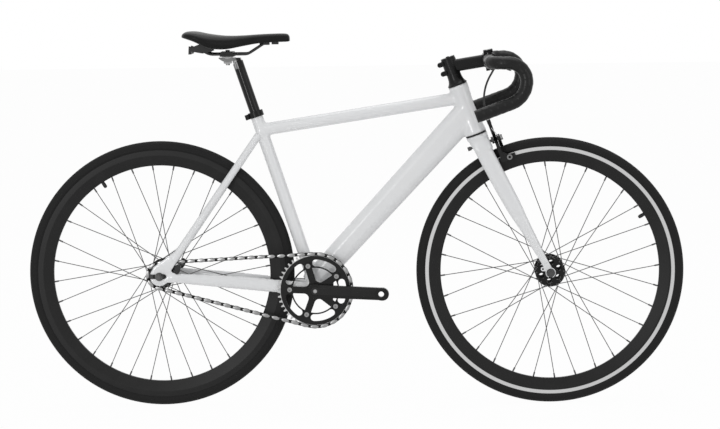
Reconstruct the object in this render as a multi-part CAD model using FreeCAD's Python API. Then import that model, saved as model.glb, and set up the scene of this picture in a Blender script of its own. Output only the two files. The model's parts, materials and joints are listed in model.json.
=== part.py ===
import FreeCAD, Part
import math
import os

os.makedirs("parts", exist_ok=True)

Vec = FreeCAD.Vector
X_DIR = Vec(1, 0, 0)
Y_DIR = Vec(0, 1, 0)
Z_DIR = Vec(0, 0, 1)

# Row frame in mm: +X to the front, +Y to the rider's left, +Z up.
# The origin is on the ground, midway between the axles.

# wheels and tyres
wheelbase = 988.0
bead_radius = 311.0
tyre_section = 28.0
tyre_wall = 2.2
rim_lip = 6.0
rim_depth = 40.0
rim_width = 23.0
rim_nose_width = 9.0
rim_wall = 1.8
brake_track_height = 14.0
rim_well_depth = 4.0
rim_well_half = 4.5
spoke_radius = 1.0
spokes_per_flange = 16
spoke_crossings = 3
valve_radius = 3.0
valve_reach = 22.0
valve_tip = 8.0
valve_tip_radius = 2.2
valve_nut_height = 3.5
valve_nut_radius = 4.6
rear_valve_angle = 122.0
front_valve_angle = 30.5

# frame layout
bottom_bracket_drop = 41.0
seat_angle = 71.8
head_angle = 70.0
fork_above_wheel = 53.0
fork_rake = 54.0
head_length = 131.0
seat_tube_length = 475.0
top_tube_below_seat_top = 48.0
top_tube_below_head_top = 34.0
down_tube_at_head = 57.0
down_tube_rise = 16.8
seatstay_below_seat_top = 59.0

# frame tubes
main_tube_radius = 15.9
tube_wall = 2.2
down_tube_height = 57.0
down_tube_head_height = 69.0
down_tube_bevel = 16.5
down_tube_width = 44.0
shell_radius = 21.0
shell_width = 68.0
dropout_beyond_chain = 16.5
front_spacing = 100.0
dropout_plate = 7.0
fork_tip_plate = 6.0

# drive
chain_pitch = 12.7
roller_radius = 3.9
ring_teeth = 46
cog_teeth = 16
ring_wrap_links = 25
cog_wrap_links = 7
bracket_beyond_tyre = 54.7
chainline = 43.5
tooth_thickness = 2.9
crank_length = 167.5
crank_angle = -2.4
bolt_circle_radius = 65.0
pedal_thread_radius = 7.14
spindle_radius = 8.5

# steering
steerer_radius = 14.3
headset_cover_height = 31.0
seal_height = 3.0
seal_radius = 27.0
stem_clamp_height = 39.0
stem_length = 97.0
stem_slope = -11.0
bar_clamp_radius = 15.9
bar_radius = 12.0
tape_radius = 16.0
bar_half_width = 202.0
bar_reach = 88.0
hook_radius = 45.0
drop_radius = 58.0
drop_end_slope = 20.0
drop_tail = 88.0
bar_wall = 2.0

# brake
brake_bolt_drop = 31.0
pad_gap = 2.2
pad_thickness = 7.0
pad_stem = 1.3
caliper_reach = 52.0
arm_half_width = 6.0
lever_slope = 20.0
lever_pivot_side = 71.0
lever_tip_inset = 30.0
housing_radius = 2.5
wire_radius = 0.8

# seat
post_radius = 13.6
post_insertion = 135.0
rail_radius = 3.5
rail_spread = 22.0
rail_above_seat_tube = 147.75
saddle_setback = 18.3
tilt_above_rail = 10.0
bowl_radius = 22.0
bowl_wall = 8.0

# clearances
running_fit = 0.05
body_gap = 0.3
seat_gap = 0.05
touch_gap = 0.2
slot_gap = 0.15

# how far cutting tools reach past what they cut
far = 400.0


def save(name, shape):
    solids = shape.Solids
    out = solids[0] if len(solids) == 1 else Part.makeCompound(solids)
    bad = [s for s in solids if not s.isValid() or s.Volume <= 0]
    print(name, len(solids), "solids", round(sum(s.Volume for s in solids)), "mm3", "BAD" if bad else "")
    out.exportStep("parts/" + name + ".step")


def rod(start, end, radius):
    axis = end.sub(start)
    return Part.makeCylinder(radius, axis.Length, start, axis)


def rod_x(radius, x0, x1, y=0.0, z=0.0):
    return Part.makeCylinder(radius, x1 - x0, Vec(x0, y, z), X_DIR)


def rod_y(radius, y0, y1, x=0.0, z=0.0):
    return Part.makeCylinder(radius, y1 - y0, Vec(x, y0, z), Y_DIR)


def ring_y(outer, inner, y0, y1, x=0.0, z=0.0):
    return rod_y(outer, y0, y1, x, z).cut(rod_y(inner, y0 - 1, y1 + 1, x, z))


def rod_z(radius, z0, z1, x=0.0, y=0.0):
    return Part.makeCylinder(radius, z1 - z0, Vec(x, y, z0), Z_DIR)


def box(x0, x1, y0, y1, z0, z1):
    return Part.makeBox(x1 - x0, y1 - y0, z1 - z0, Vec(x0, y0, z0))


def hex_y(across, y0, y1, x=0.0, z=0.0):
    r = across / math.sqrt(3.0)
    corners = [Vec(x + r * math.cos(math.radians(60 * k)), y0, z + r * math.sin(math.radians(60 * k)))
               for k in range(6)]
    return prism(corners, Vec(0, y1 - y0, 0))


def prism(points, along):
    return Part.Face(Part.makePolygon(points + [points[0]])).extrude(along)


def revolve(points, axis):
    face = Part.Face(Part.makePolygon(points + [points[0]]))
    return face.revolve(Vec(0, 0, 0), axis, 360)


def fuse(shapes):
    whole = shapes[0]
    for extra in shapes[1:]:
        whole = whole.fuse(extra)
    return whole.removeSplitter()


def cut(shape, tools):
    for tool in tools:
        shape = shape.cut(tool)
    return shape


def largest(shape):
    return max(shape.Solids, key=lambda s: s.Volume)


def moved(shape, origin, turn=0.0):
    copy = shape.copy()
    copy.Placement = FreeCAD.Placement(origin, FreeCAD.Rotation(Y_DIR, turn)).multiply(copy.Placement)
    return copy


def mirrored(shape):
    return shape.mirror(Vec(0, 0, 0), Y_DIR)


def pair(shape):
    return Part.makeCompound([shape, mirrored(shape)])


def spun(shape, degrees, centre=Vec(0, 0, 0)):
    copy = shape.copy()
    copy.rotate(centre, Y_DIR, -degrees)
    return copy


def polar(radius, degrees, y=0.0):
    return Vec(radius * math.cos(math.radians(degrees)), y, radius * math.sin(math.radians(degrees)))


def ellipse_wire(centre, normal, long_dir, half_long, half_short):
    curve = Part.Ellipse()
    curve.MajorRadius = half_long
    curve.MinorRadius = half_short
    edge = curve.toShape()
    side = normal.cross(long_dir)
    matrix = FreeCAD.Matrix(long_dir.x, side.x, normal.x, centre.x,
                            long_dir.y, side.y, normal.y, centre.y,
                            long_dir.z, side.z, normal.z, centre.z, 0, 0, 0, 1)
    edge.Placement = FreeCAD.Placement(matrix)
    return Part.Wire([edge])


def bent_wire(points, radii):
    edges = []
    here = points[0]
    for corner, after, radius in zip(points[1:-1], points[2:], radii):
        back = here.sub(corner).normalize()
        ahead = after.sub(corner).normalize()
        half = back.getAngle(ahead) / 2
        reach = radius / math.tan(half)
        start = corner + back * reach
        end = corner + ahead * reach
        middle_dir = (back + ahead).normalize()
        middle = corner + middle_dir * (radius / math.sin(half) - radius)
        if start.sub(here).Length > 0.001:
            edges.append(Part.LineSegment(here, start).toShape())
        edges.append(Part.Arc(start, middle, end).toShape())
        here = end
    if points[-1].sub(here).Length > 0.001:
        edges.append(Part.LineSegment(here, points[-1]).toShape())
    return Part.Wire(edges)


def pipe(wire, radius):
    first = wire.Edges[0]
    start = first.valueAt(first.FirstParameter)
    heading = first.tangentAt(first.FirstParameter)
    profile = Part.Wire([Part.makeCircle(radius, start, heading)])
    shell = Part.BRepOffsetAPI.MakePipeShell(wire)
    shell.add(profile)
    shell.setTransitionMode(0)
    shell.build()
    shell.makeSolid()
    return shell.shape()


def bar_link(start, end, radius, depth, along):
    side = end.sub(start).normalize().cross(along.normalize()) * radius
    corners = [start + side, end + side, end - side, start - side]
    body = prism(corners, along * depth)
    caps = [Part.makeCylinder(radius, depth, p, along) for p in (start, end)]
    return fuse([body] + caps)


def chain_of_links(points, radius, depth, along):
    links = [bar_link(a, b, radius, depth, along) for a, b in zip(points[:-1], points[1:])]
    return fuse(links)


def sprocket(teeth, thickness):
    pitch_radius = chain_pitch / 2 / math.sin(math.pi / teeth)
    gap = roller_radius + 0.1
    tip_height = 3.4
    tip_half = gap + 1.2
    edges = []
    last = None
    first = None
    for k in range(teeth):
        angle = 360.0 / teeth * k
        out = polar(1, angle)
        side = polar(1, angle + 90)
        seat = out * pitch_radius
        rise_a = seat - side * tip_half + out * tip_height
        low_a = seat - side * gap
        root = seat - out * gap
        low_b = seat + side * gap
        rise_b = seat + side * tip_half + out * tip_height
        if last is not None:
            edges.append(Part.LineSegment(last, rise_a).toShape())
        else:
            first = rise_a
        edges.append(Part.LineSegment(rise_a, low_a).toShape())
        edges.append(Part.Arc(low_a, root, low_b).toShape())
        edges.append(Part.LineSegment(low_b, rise_b).toShape())
        last = rise_b
    edges.append(Part.LineSegment(last, first).toShape())
    face = Part.Face(Part.Wire(edges))
    return moved(face.extrude(Vec(0, thickness, 0)), Vec(0, -thickness / 2, 0))


def curved_slot(inner, outer, span, depth, middle_angle):
    ring = ring_y(outer, inner, -depth / 2, depth / 2)
    reach = outer * 2
    end_radius = (outer - inner) / 2
    half = span / 2 - math.degrees(math.asin(end_radius / (inner + end_radius)))
    corners = [Vec(0, -depth, 0), polar(reach, middle_angle - half, -depth),
               polar(reach, middle_angle + half, -depth)]
    ends = [polar(inner + end_radius, middle_angle + turn) for turn in (-half, half)]
    rounds = [rod_y(end_radius, -depth / 2, depth / 2, p.x, p.z) for p in ends]
    return fuse([ring.common(prism(corners, Vec(0, depth * 2, 0)))] + rounds)


# derived layout
wheel_radius = bead_radius + tyre_section
rim_radius = bead_radius + rim_lip
nose_radius = rim_radius - rim_depth
fork_length = wheel_radius + fork_above_wheel
rear_spacing = 2 * (chainline + dropout_beyond_chain)
run_links = round((wheel_radius + bracket_beyond_tyre) / chain_pitch)
rear_axle = Vec(-wheelbase / 2, 0, wheel_radius)
front_axle = Vec(wheelbase / 2, 0, wheel_radius)

ring_pitch_radius = chain_pitch / 2 / math.sin(math.pi / ring_teeth)
cog_pitch_radius = chain_pitch / 2 / math.sin(math.pi / cog_teeth)
ring_half_wrap = math.pi / ring_teeth * ring_wrap_links
cog_half_wrap = math.pi / cog_teeth * cog_wrap_links
run_rise = ring_pitch_radius * math.sin(ring_half_wrap) - cog_pitch_radius * math.sin(cog_half_wrap)
run_along = math.sqrt((run_links * chain_pitch) ** 2 - run_rise ** 2)
chainstay_length = (run_along - ring_pitch_radius * math.cos(ring_half_wrap)
                    - cog_pitch_radius * math.cos(cog_half_wrap))
bracket_ahead = math.sqrt(chainstay_length ** 2 - bottom_bracket_drop ** 2)
bracket = rear_axle + Vec(bracket_ahead, 0, -bottom_bracket_drop)
chain_tilt = math.degrees(math.atan2(-bottom_bracket_drop, bracket_ahead))

seat_dir = Vec(-math.cos(math.radians(seat_angle)), 0, math.sin(math.radians(seat_angle)))
steer_up = Vec(-math.cos(math.radians(head_angle)), 0, math.sin(math.radians(head_angle)))
steer_out = Vec(math.sin(math.radians(head_angle)), 0, math.cos(math.radians(head_angle)))
head_bottom = front_axle + steer_up * fork_length - steer_out * fork_rake
top_tube_at_seat = seat_tube_length - top_tube_below_seat_top
top_tube_at_head = head_length - top_tube_below_head_top
seatstay_at_seat = seat_tube_length - seatstay_below_seat_top
rail_height = bracket.z + seat_dir.z * seat_tube_length + rail_above_seat_tube
cradle_x = bracket.x + seat_dir.x * (rail_height - bracket.z) / seat_dir.z - saddle_setback
seat_turn = seat_angle - 90
head_turn = head_angle - 90

rear_plate_in = rear_spacing / 2
rear_plate_out = rear_plate_in + dropout_plate
front_plate_in = front_spacing / 2
front_plate_out = front_plate_in + fork_tip_plate


def on_seat(s):
    return bracket + seat_dir * s


def in_steering(ahead, side, up):
    return head_bottom + steer_out * ahead + Y_DIR * side + steer_up * up


def steering_shape(shape):
    return moved(shape, head_bottom, head_turn)


def seat_shape(shape):
    return moved(shape, bracket, seat_turn)


# tyres, inner tubes and rims, about +Y at the origin
section_half = tyre_section / 2
section_centre = bead_radius + section_half
lip_half = math.sqrt(section_half ** 2 - (section_centre - rim_radius) ** 2)
channel_half = rim_width / 2 - rim_wall
tube_half = section_half - tyre_wall - 0.4
tube_skin = 1.0


def make_tyre():
    inside = section_half - tyre_wall
    bead_in = channel_half - tyre_wall
    cavity_low = section_centre - math.sqrt(inside ** 2 - bead_in ** 2)
    seat = rim_radius + seat_gap
    low = bead_radius + seat_gap
    edge = lip_half - seat_gap
    wall = channel_half - seat_gap

    def at(y, r):
        return Vec(r, y, 0)

    edges = [Part.Arc(at(edge, seat), at(0, wheel_radius), at(-edge, seat)).toShape()]
    path = [at(-edge, seat), at(-wall, seat), at(-wall, low), at(-bead_in, low), at(-bead_in, cavity_low)]
    for a, b in zip(path[:-1], path[1:]):
        edges.append(Part.LineSegment(a, b).toShape())
    edges.append(Part.Arc(path[-1], at(0, section_centre + inside), at(bead_in, cavity_low)).toShape())
    path = [at(bead_in, cavity_low), at(bead_in, low), at(wall, low), at(wall, seat), at(edge, seat)]
    for a, b in zip(path[:-1], path[1:]):
        edges.append(Part.LineSegment(a, b).toShape())
    return Part.Face(Part.Wire(edges)).revolve(Vec(0, 0, 0), Y_DIR, 360)


def make_inner_tube(valve_angle):
    outer = Part.makeTorus(section_centre, tube_half, Vec(0, 0, 0), Y_DIR)
    inner = Part.makeTorus(section_centre, tube_half - tube_skin, Vec(0, 0, 0), Y_DIR)
    stem_end = nose_radius - valve_reach
    stem_top = polar(section_centre - tube_half + tube_skin / 2, valve_angle)
    stem = rod(stem_top, polar(stem_end, valve_angle), valve_radius)
    nut_low = polar(nose_radius - valve_nut_height, valve_angle)
    nut = rod(polar(nose_radius - touch_gap, valve_angle), nut_low, valve_nut_radius)
    tip = rod(polar(stem_end, valve_angle), polar(stem_end - valve_tip, valve_angle), valve_tip_radius)
    return cut(fuse([outer, stem, nut, tip]), [inner])


def both_sides(right):
    left = [(-y, r) for y, r in right[::-1]]
    return [Vec(r, y, 0) for y, r in right + left]


def make_rim(valve_angle):
    half = rim_width / 2
    track_low = rim_radius - brake_track_height
    nose = rim_nose_width / 2
    well = bead_radius - rim_well_depth
    right = [(half, rim_radius), (half, track_low), (nose, nose_radius)]
    floor = [(channel_half, rim_radius), (channel_half, bead_radius), (rim_well_half, well)]
    side_in = half - rim_wall
    shelf = bead_radius - rim_wall * 1.6
    cavity = [(rim_well_half, well - rim_wall), (side_in, shelf), (side_in, track_low),
              (nose - 1.2, nose_radius + rim_wall * 1.3)]
    body = revolve(both_sides(floor[::-1] + right), Y_DIR)
    hollow = revolve(both_sides(cavity), Y_DIR)
    hole_ends = [polar(bead_radius + 5, valve_angle), polar(nose_radius - 5, valve_angle)]
    hole = rod(*hole_ends, valve_radius + slot_gap)
    return cut(body, [hollow, hole])


flange_thickness = 3.4
flange_step = 6.0
flange_slots = 6
flange_slot_span = 34.0
flange_slot_rim = 5.0
flange_root = 3.0
nipple_length = 11.0
nipple_radius = 2.0
nipple_offset = 1.5
spoke_hole_edge = 3.5
bearing_depth = 8.0
spoke_step = 360.0 / spokes_per_flange
spoke_swing = spoke_crossings * spoke_step


# one half of a hub is a list of (radius, distance from the middle plane), from the middle outwards
def make_hub(flange_y, flange_radius, waist, barrel, end_y, bore, bearing_bore, phase):
    flange_in = flange_y - flange_thickness / 2
    flange_out = flange_y + flange_thickness / 2
    root = barrel + flange_root
    half = [(waist, 0), (waist, flange_in - flange_step), (root, flange_in), (flange_radius, flange_in),
            (flange_radius, flange_out), (root, flange_out), (barrel, flange_out + 2), (barrel, end_y)]
    body = revolve([Vec(0, 0, 0)] + [Vec(r, y, 0) for r, y in half] + [Vec(0, end_y, 0)], Y_DIR)
    body = fuse([body, mirrored(body)])
    bearing_in = end_y - bearing_depth
    bearing_seat = rod_y(bearing_bore, bearing_in, far)
    tools = [rod_y(bore, -far, far), bearing_seat, mirrored(bearing_seat)]
    deep = flange_thickness * 2
    slot_outer = flange_radius - 2 * spoke_hole_edge - spoke_radius
    for side, offset in ((-1, 0.0), (1, spoke_step / 2)):
        for k in range(spokes_per_flange):
            at = polar(flange_radius - spoke_hole_edge, phase + offset + spoke_step * k)
            middle = side * flange_y
            tools.append(rod_y(spoke_radius + 0.3, middle - deep, middle + deep, at.x, at.z))
        for k in range(flange_slots):
            slot = curved_slot(barrel + flange_slot_rim, slot_outer, flange_slot_span, 2 * deep,
                               phase + 360.0 / flange_slots * k)
            tools.append(moved(slot, Vec(0, side * flange_y, 0)))
    return cut(body, [Part.makeCompound(tools)])


def make_spokes(flange_y, flange_radius, phase):
    hole_circle = flange_radius - spoke_hole_edge
    overhang = math.sqrt(flange_radius ** 2 - hole_circle ** 2)
    edge_drop = overhang * flange_y / nose_radius
    spokes = []
    for side, offset in ((-1, 0.0), (1, spoke_step / 2)):
        for k in (0, 1):
            outward = 1 if k == 0 else -1
            hub_angle = phase + offset + spoke_step * k
            rim_angle = hub_angle + outward * spoke_swing
            lean = flange_thickness / 2 + spoke_radius + seat_gap + (edge_drop if outward == 1 else 0)
            hub_y = side * (flange_y + outward * lean)
            hub_end = polar(hole_circle, hub_angle, hub_y)
            rim_end = polar(nose_radius - 2 * touch_gap, rim_angle, side * nipple_offset)
            run = rim_end.sub(hub_end)
            straight = rod(hub_end, rim_end - run.normalize() * (nipple_length - 1), spoke_radius)
            nipple = rod(rim_end - rim_end.sub(hub_end).normalize() * nipple_length, rim_end, nipple_radius)
            elbow = Part.makeSphere(spoke_radius * 1.06, hub_end)
            through = side * (flange_y - outward * (flange_thickness / 2 + 0.1))
            low, high = sorted((hub_y, through))
            stub = rod_y(spoke_radius, low, high, hub_end.x, hub_end.z)
            face = through - side * outward * 1.0
            low, high = sorted((through, face))
            head = rod_y(spoke_radius * 1.8, low, high, hub_end.x, hub_end.z)
            one = fuse([straight, nipple, elbow, stub, head])
            for turn in range(spokes_per_flange // 2):
                spokes.append(spun(one, 2 * spoke_step * turn))
    return Part.makeCompound(spokes)


def on_axle(shape, axle):
    return moved(shape, axle)


rear_phase = rear_valve_angle - spoke_step / 4
front_phase = front_valve_angle - spoke_step / 4

rear_flange_y = chainline - 11.5
rear_flange_radius = 35.0
hub_end = rear_spacing / 2 - 7
cog_seat = 17.4
rear_axle_radius = 5.0
rear_bearing_radius = 13.0
rear_bearing_in = hub_end - bearing_depth
rear_hub = make_hub(rear_flange_y, rear_flange_radius, 15.0, cog_seat, hub_end, 8.0, rear_bearing_radius,
                    rear_phase)

front_flange_y = front_spacing / 2 - 18
front_flange_radius = 38.0
front_end = front_spacing / 2 - 6
front_axle_radius = 4.5
front_bearing_radius = 11.0
front_bearing_in = front_end - bearing_depth
front_hub = make_hub(front_flange_y, front_flange_radius, 12.0, 13.0, front_end, 7.0, front_bearing_radius,
                     front_phase)

save("rear_tyre", on_axle(make_tyre(), rear_axle))
save("front_tyre", on_axle(make_tyre(), front_axle))
save("rear_inner_tube", on_axle(make_inner_tube(rear_valve_angle), rear_axle))
save("front_inner_tube", on_axle(make_inner_tube(front_valve_angle), front_axle))
save("rear_rim", on_axle(make_rim(rear_valve_angle), rear_axle))
save("front_rim", on_axle(make_rim(front_valve_angle), front_axle))
save("rear_hub_shell", on_axle(rear_hub, rear_axle))
save("front_hub_shell", on_axle(front_hub, front_axle))
save("rear_spokes", on_axle(make_spokes(rear_flange_y, rear_flange_radius, rear_phase), rear_axle))
save("front_spokes", on_axle(make_spokes(front_flange_y, front_flange_radius, front_phase), front_axle))


def bearing_pair(outer, inner, y_in, depth):
    return pair(ring_y(outer, inner, y_in, y_in + depth - touch_gap))


rear_bearings = bearing_pair(rear_bearing_radius, rear_axle_radius + running_fit, rear_bearing_in,
                             bearing_depth)
front_bearings = bearing_pair(front_bearing_radius, front_axle_radius + running_fit, front_bearing_in,
                              bearing_depth)
save("rear_hub_bearings", on_axle(rear_bearings, rear_axle))
save("front_hub_bearings", on_axle(front_bearings, front_axle))


def axle_set(radius, hub_half, plate_in, plate_out, across):
    washer = 2.0
    nut = 9.0
    axle = rod_y(radius, -plate_out - washer - nut - 4, plate_out + washer + nut + 4)
    side = [rod_y(radius * 1.7, hub_half + body_gap, plate_in),
            rod_y(across * 0.72, plate_out, plate_out + washer),
            hex_y(across, plate_out + washer, plate_out + washer + nut)]
    return fuse([axle] + side + [mirrored(s) for s in side])


rear_axle_set = axle_set(rear_axle_radius, hub_end, rear_plate_in, rear_plate_out, 15.0)
front_axle_set = axle_set(front_axle_radius, front_end, front_plate_in, front_plate_out, 15.0)
save("rear_axle_set", on_axle(rear_axle_set, rear_axle))
save("front_axle_set", on_axle(front_axle_set, front_axle))

# cog and lockring on the right of the rear hub
cog_face = rear_flange_y + flange_thickness / 2 + 4.5
cog_back = chainline + 4
cog_body = fuse([moved(sprocket(cog_teeth, tooth_thickness), Vec(0, -chainline, 0)),
                 rod_y(cog_seat + 5.5, -cog_back, -cog_face)])
cog_phase = 180 + chain_tilt + 180.0 / cog_teeth * (cog_wrap_links % 2)
cog = spun(cog_body.cut(rod_y(cog_seat, -far, 0)), cog_phase)
lockring = ring_y(cog_seat + 3.0, cog_seat, -hub_end + 1, -cog_back)
for k in range(4):
    notch = box(cog_seat + 1.4, cog_seat + 6, -hub_end - 1, -cog_back + 0.6, -2, 2)
    lockring = lockring.cut(spun(notch, 90 * k + 45))
save("rear_cog", on_axle(cog, rear_axle))
save("rear_lockring", on_axle(lockring, rear_axle))

# chain, links laid on the two pitch circles and the straight runs between them
plate_height = 4.2
inner_gap = tooth_thickness / 2 + 0.25
inner_plate = 1.05
outer_face = inner_gap + inner_plate + 0.1


def link_plate(y0, y1):
    pads = [rod_y(plate_height, y0, y1, 0, 0), rod_y(plate_height, y0, y1, chain_pitch, 0)]
    web = box(0, chain_pitch, y0, y1, -plate_height * 0.72, plate_height * 0.72)
    return fuse([web] + pads)


def inner_link():
    plate = link_plate(inner_gap, inner_gap + inner_plate)
    plates = [plate, mirrored(plate)]
    rollers = [rod_y(roller_radius, -inner_gap, inner_gap, x, 0) for x in (0, chain_pitch)]
    bores = [rod_y(1.85, -9, 9, x, 0) for x in (0, chain_pitch)]
    return cut(fuse(plates + rollers), bores)


def outer_link():
    plate = link_plate(outer_face, outer_face + inner_plate)
    plates = [plate, mirrored(plate)]
    reach = outer_face + inner_plate + 0.4
    pins = [rod_y(1.8, -reach, reach, x, 0) for x in (0, chain_pitch)]
    return fuse(plates + pins)


along = bracket.sub(rear_axle).normalize()
chain_down = Y_DIR.cross(along)
pins = []
for k in range(ring_wrap_links + 1):
    angle = ring_half_wrap - 2 * math.pi / ring_teeth * k
    pins.append(bracket + (along * math.cos(angle) + chain_down * math.sin(angle)) * ring_pitch_radius)
upper_start = pins[-1]
cog_pins = []
for k in range(cog_wrap_links + 1):
    angle = -cog_half_wrap + 2 * math.pi / cog_teeth * k
    round_cog = along * -math.cos(angle) + chain_down * math.sin(angle)
    cog_pins.append(rear_axle + round_cog * cog_pitch_radius)
for k in range(1, run_links):
    pins.append(upper_start + (cog_pins[0].sub(upper_start)) * (k / run_links))
pins += cog_pins
for k in range(1, run_links):
    pins.append(cog_pins[-1] + (pins[0].sub(cog_pins[-1])) * (k / run_links))

links = [inner_link(), outer_link()]
chain = []
for k, pin in enumerate(pins):
    step = pins[(k + 1) % len(pins)].sub(pin)
    link = links[k % 2].copy()
    turn = -math.degrees(math.atan2(step.z, step.x))
    chain.append(moved(link, pin - Y_DIR * chainline, turn))
save("chain", Part.makeCompound(chain))

# crankset, right arm with its spider, left arm half a turn away
ring_phase = chain_tilt + 180.0 / ring_teeth * (ring_wrap_links % 2)
ring_inner = bolt_circle_radius - 7.4
slot_inner = bolt_circle_radius - 3.8
slot_outer = ring_pitch_radius - 14.5
slot_span = 52.5
ring_body = spun(sprocket(ring_teeth, tooth_thickness), ring_phase).cut(rod_y(ring_inner, -9, 9))
ring_slots = [curved_slot(slot_inner, slot_outer, slot_span, 12, crank_angle + 72 * k) for k in range(5)]
bolt_angles = [crank_angle + 36 + 72 * k for k in range(5)]
bolt_spots = [polar(bolt_circle_radius, a) for a in bolt_angles]
bolt_holes = [rod_y(4.0, -9, 9, p.x, p.z) for p in bolt_spots]
chainring = cut(ring_body, ring_slots + bolt_holes)
ring_out = chainline + tooth_thickness / 2
save("chainring", moved(chainring, bracket - Y_DIR * chainline))

spider_thick = 5.0
arm_thick = 13.0
boss_in = shell_width / 2 + 6.0
boss_out = chainline + 20.5
pedal_out = boss_out + 14.0
pedal_in = pedal_out - arm_thick
arm_root_half = 16.0
arm_half = 15.5
arm_end_radius = 16.0
arm_end_beyond = 3.5
arm_dir = polar(1, crank_angle)
eye = bracket + arm_dir * crank_length


def section_wire(centre, up_half, out_half, direction):
    upward = Y_DIR.cross(direction).normalize()
    corners = []
    for su, so in ((1, 0.45), (0.55, 1), (-0.55, 1), (-1, 0.45), (-1, -1), (1, -1)):
        corners.append(centre + upward * (up_half * su) + Y_DIR * (out_half * -so))
    return Part.makePolygon(corners + [corners[0]])


def crank_arm():
    direction = arm_dir
    root = bracket + direction * 6 - Y_DIR * (boss_out - arm_thick / 2)
    knee = bracket + direction * (crank_length * 0.4) - Y_DIR * (boss_out - arm_thick / 2 + 5)
    tip = bracket + direction * crank_length - Y_DIR * (pedal_out - arm_thick / 2)
    beam = Part.makeLoft([section_wire(root, arm_root_half, arm_thick / 2, direction),
                          section_wire(knee, arm_half, arm_thick / 2, direction),
                          section_wire(tip, arm_half, arm_thick / 2, direction)], True, True)
    boss = rod_y(18, -boss_out, -boss_in, bracket.x, bracket.z)
    face = eye - Y_DIR * pedal_out
    end = bar_link(face, face + direction * arm_end_beyond, arm_end_radius, arm_thick, Y_DIR)
    return fuse([boss, beam, end])


def arm_holes():
    return [rod_y(spindle_radius, -boss_out + 5, 0, bracket.x, bracket.z),
            rod_y(11, -boss_out - 3, -boss_out + 5, bracket.x, bracket.z),
            rod_y(pedal_thread_radius, -pedal_out - 5, -pedal_in + 5, eye.x, eye.z)]


spider_arm_half = 8.5
spider_fillet = 12.0
spider_web = ring_inner - 1
spider_centre = bracket - Y_DIR * (ring_out + spider_thick)
spider = fuse([bar_link(spider_centre, spider_centre + spot, spider_arm_half, spider_thick, Y_DIR)
               for spot in bolt_spots])
inner_corners = [e for e in spider.Edges
                 if abs(e.Vertexes[0].Y - e.Vertexes[-1].Y) > spider_thick / 2
                 and Vec(e.Vertexes[0].X - bracket.x, 0, e.Vertexes[0].Z - bracket.z).Length < ring_inner / 2]
spider = spider.makeFillet(spider_fillet, inner_corners)
web = prism([spider_centre] + [spider_centre + polar(spider_web, crank_angle + turn) for turn in (-36, 36)],
            Vec(0, spider_thick, 0))
plain_arm = crank_arm()
right_arm = fuse([plain_arm, spider, web])
spider_holes = [moved(h, bracket - Y_DIR * (ring_out + 2)) for h in bolt_holes]
right_arm = cut(right_arm, arm_holes() + spider_holes)
save("crank_arm_right", right_arm)
left_arm = cut(plain_arm, arm_holes())
left_arm = spun(mirrored(left_arm), 180, bracket)
save("crank_arm_left", left_arm)

fasteners = []
for spot in bolt_spots:
    head = rod_y(6.0, -ring_out - spider_thick - 2, -ring_out - spider_thick, spot.x, spot.z)
    shank = rod_y(4.0, -ring_out - spider_thick, -ring_out + tooth_thickness + 1.2, spot.x, spot.z)
    back = rod_y(6.0, -ring_out + tooth_thickness, -ring_out + tooth_thickness + 1.2, spot.x, spot.z)
    socket = hex_y(5.0, -ring_out - spider_thick - 3, -ring_out - spider_thick + 3, spot.x, spot.z)
    fasteners.append(moved(fuse([head, shank, back]).cut(socket), bracket))
crank_bolt = rod_y(10.5, -boss_out + 1, -boss_out + 5).cut(hex_y(8.0, -boss_out - 1, -boss_out + 4))
fasteners.append(moved(crank_bolt, bracket))
fasteners.append(moved(mirrored(crank_bolt), bracket))
save("crank_fasteners", Part.makeCompound(fasteners))

spindle = rod_y(spindle_radius, -boss_out + 5, boss_out - 5)
save("bottom_bracket_spindle", moved(spindle, bracket))
shell_half = shell_width / 2
cartridge_radius = 17.4
cartridge_lip = rod_y(19.5, shell_half, shell_half + 2.5)
cartridge = fuse([rod_y(cartridge_radius, -shell_half, shell_half), cartridge_lip, mirrored(cartridge_lip)])
cartridge = cut(cartridge, [rod_y(12, -far, far)])
bracket_bearings = bearing_pair(12, spindle_radius + running_fit, shell_half - 8, 9)
save("bottom_bracket_cartridge", moved(Part.makeCompound([cartridge] + bracket_bearings.Solids), bracket))

# frame tubes, each mitred against its neighbours
def head_profile(inset):
    curve = Part.BSplineCurve()
    heights = [0.06, 0.22, 0.45, 0.62, 0.84, 0.94]
    radii = [28.0, 25.4, 22.9, 22.6, 24.4, 25.0]
    curve.interpolate([Vec(r - inset, 0, head_length * h) for r, h in zip(radii, heights)])
    low = Vec(radii[0] - inset, 0, 0)
    high = Vec(radii[-1] - inset, 0, head_length)
    first = Vec(radii[0] - inset, 0, head_length * heights[0])
    last = Vec(radii[-1] - inset, 0, head_length * heights[-1])
    path = [Part.LineSegment(Vec(0, 0, 0), low), Part.LineSegment(low, first), curve,
            Part.LineSegment(last, high), Part.LineSegment(high, Vec(0, 0, head_length)),
            Part.LineSegment(Vec(0, 0, head_length), Vec(0, 0, 0))]
    face = Part.Face(Part.Wire([p.toShape() for p in path]))
    return face.revolve(Vec(0, 0, 0), Z_DIR, 360)


bearing_radius = 20.9
head_bore = 17.5
head_outer = steering_shape(head_profile(0.0))
bores = [rod_z(head_bore, -5, head_length + 5), rod_z(bearing_radius, -5, bearing_depth),
         rod_z(bearing_radius, head_length - bearing_depth, head_length + 5)]
head_tube = head_outer.cut(steering_shape(Part.makeCompound(bores)))
save("head_tube", head_tube)
lower_bearing = fuse([rod_z(bearing_radius, -seal_height, bearing_depth),
                      rod_z(seal_radius, -seal_height, -seat_gap)])
upper_bearing = rod_z(bearing_radius, head_length - bearing_depth, head_length)
steerer_room = rod_z(steerer_radius + running_fit, -far, far)
headset = Part.makeCompound([b.cut(steerer_room) for b in (lower_bearing, upper_bearing)])
save("headset_bearings", steering_shape(headset))

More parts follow.
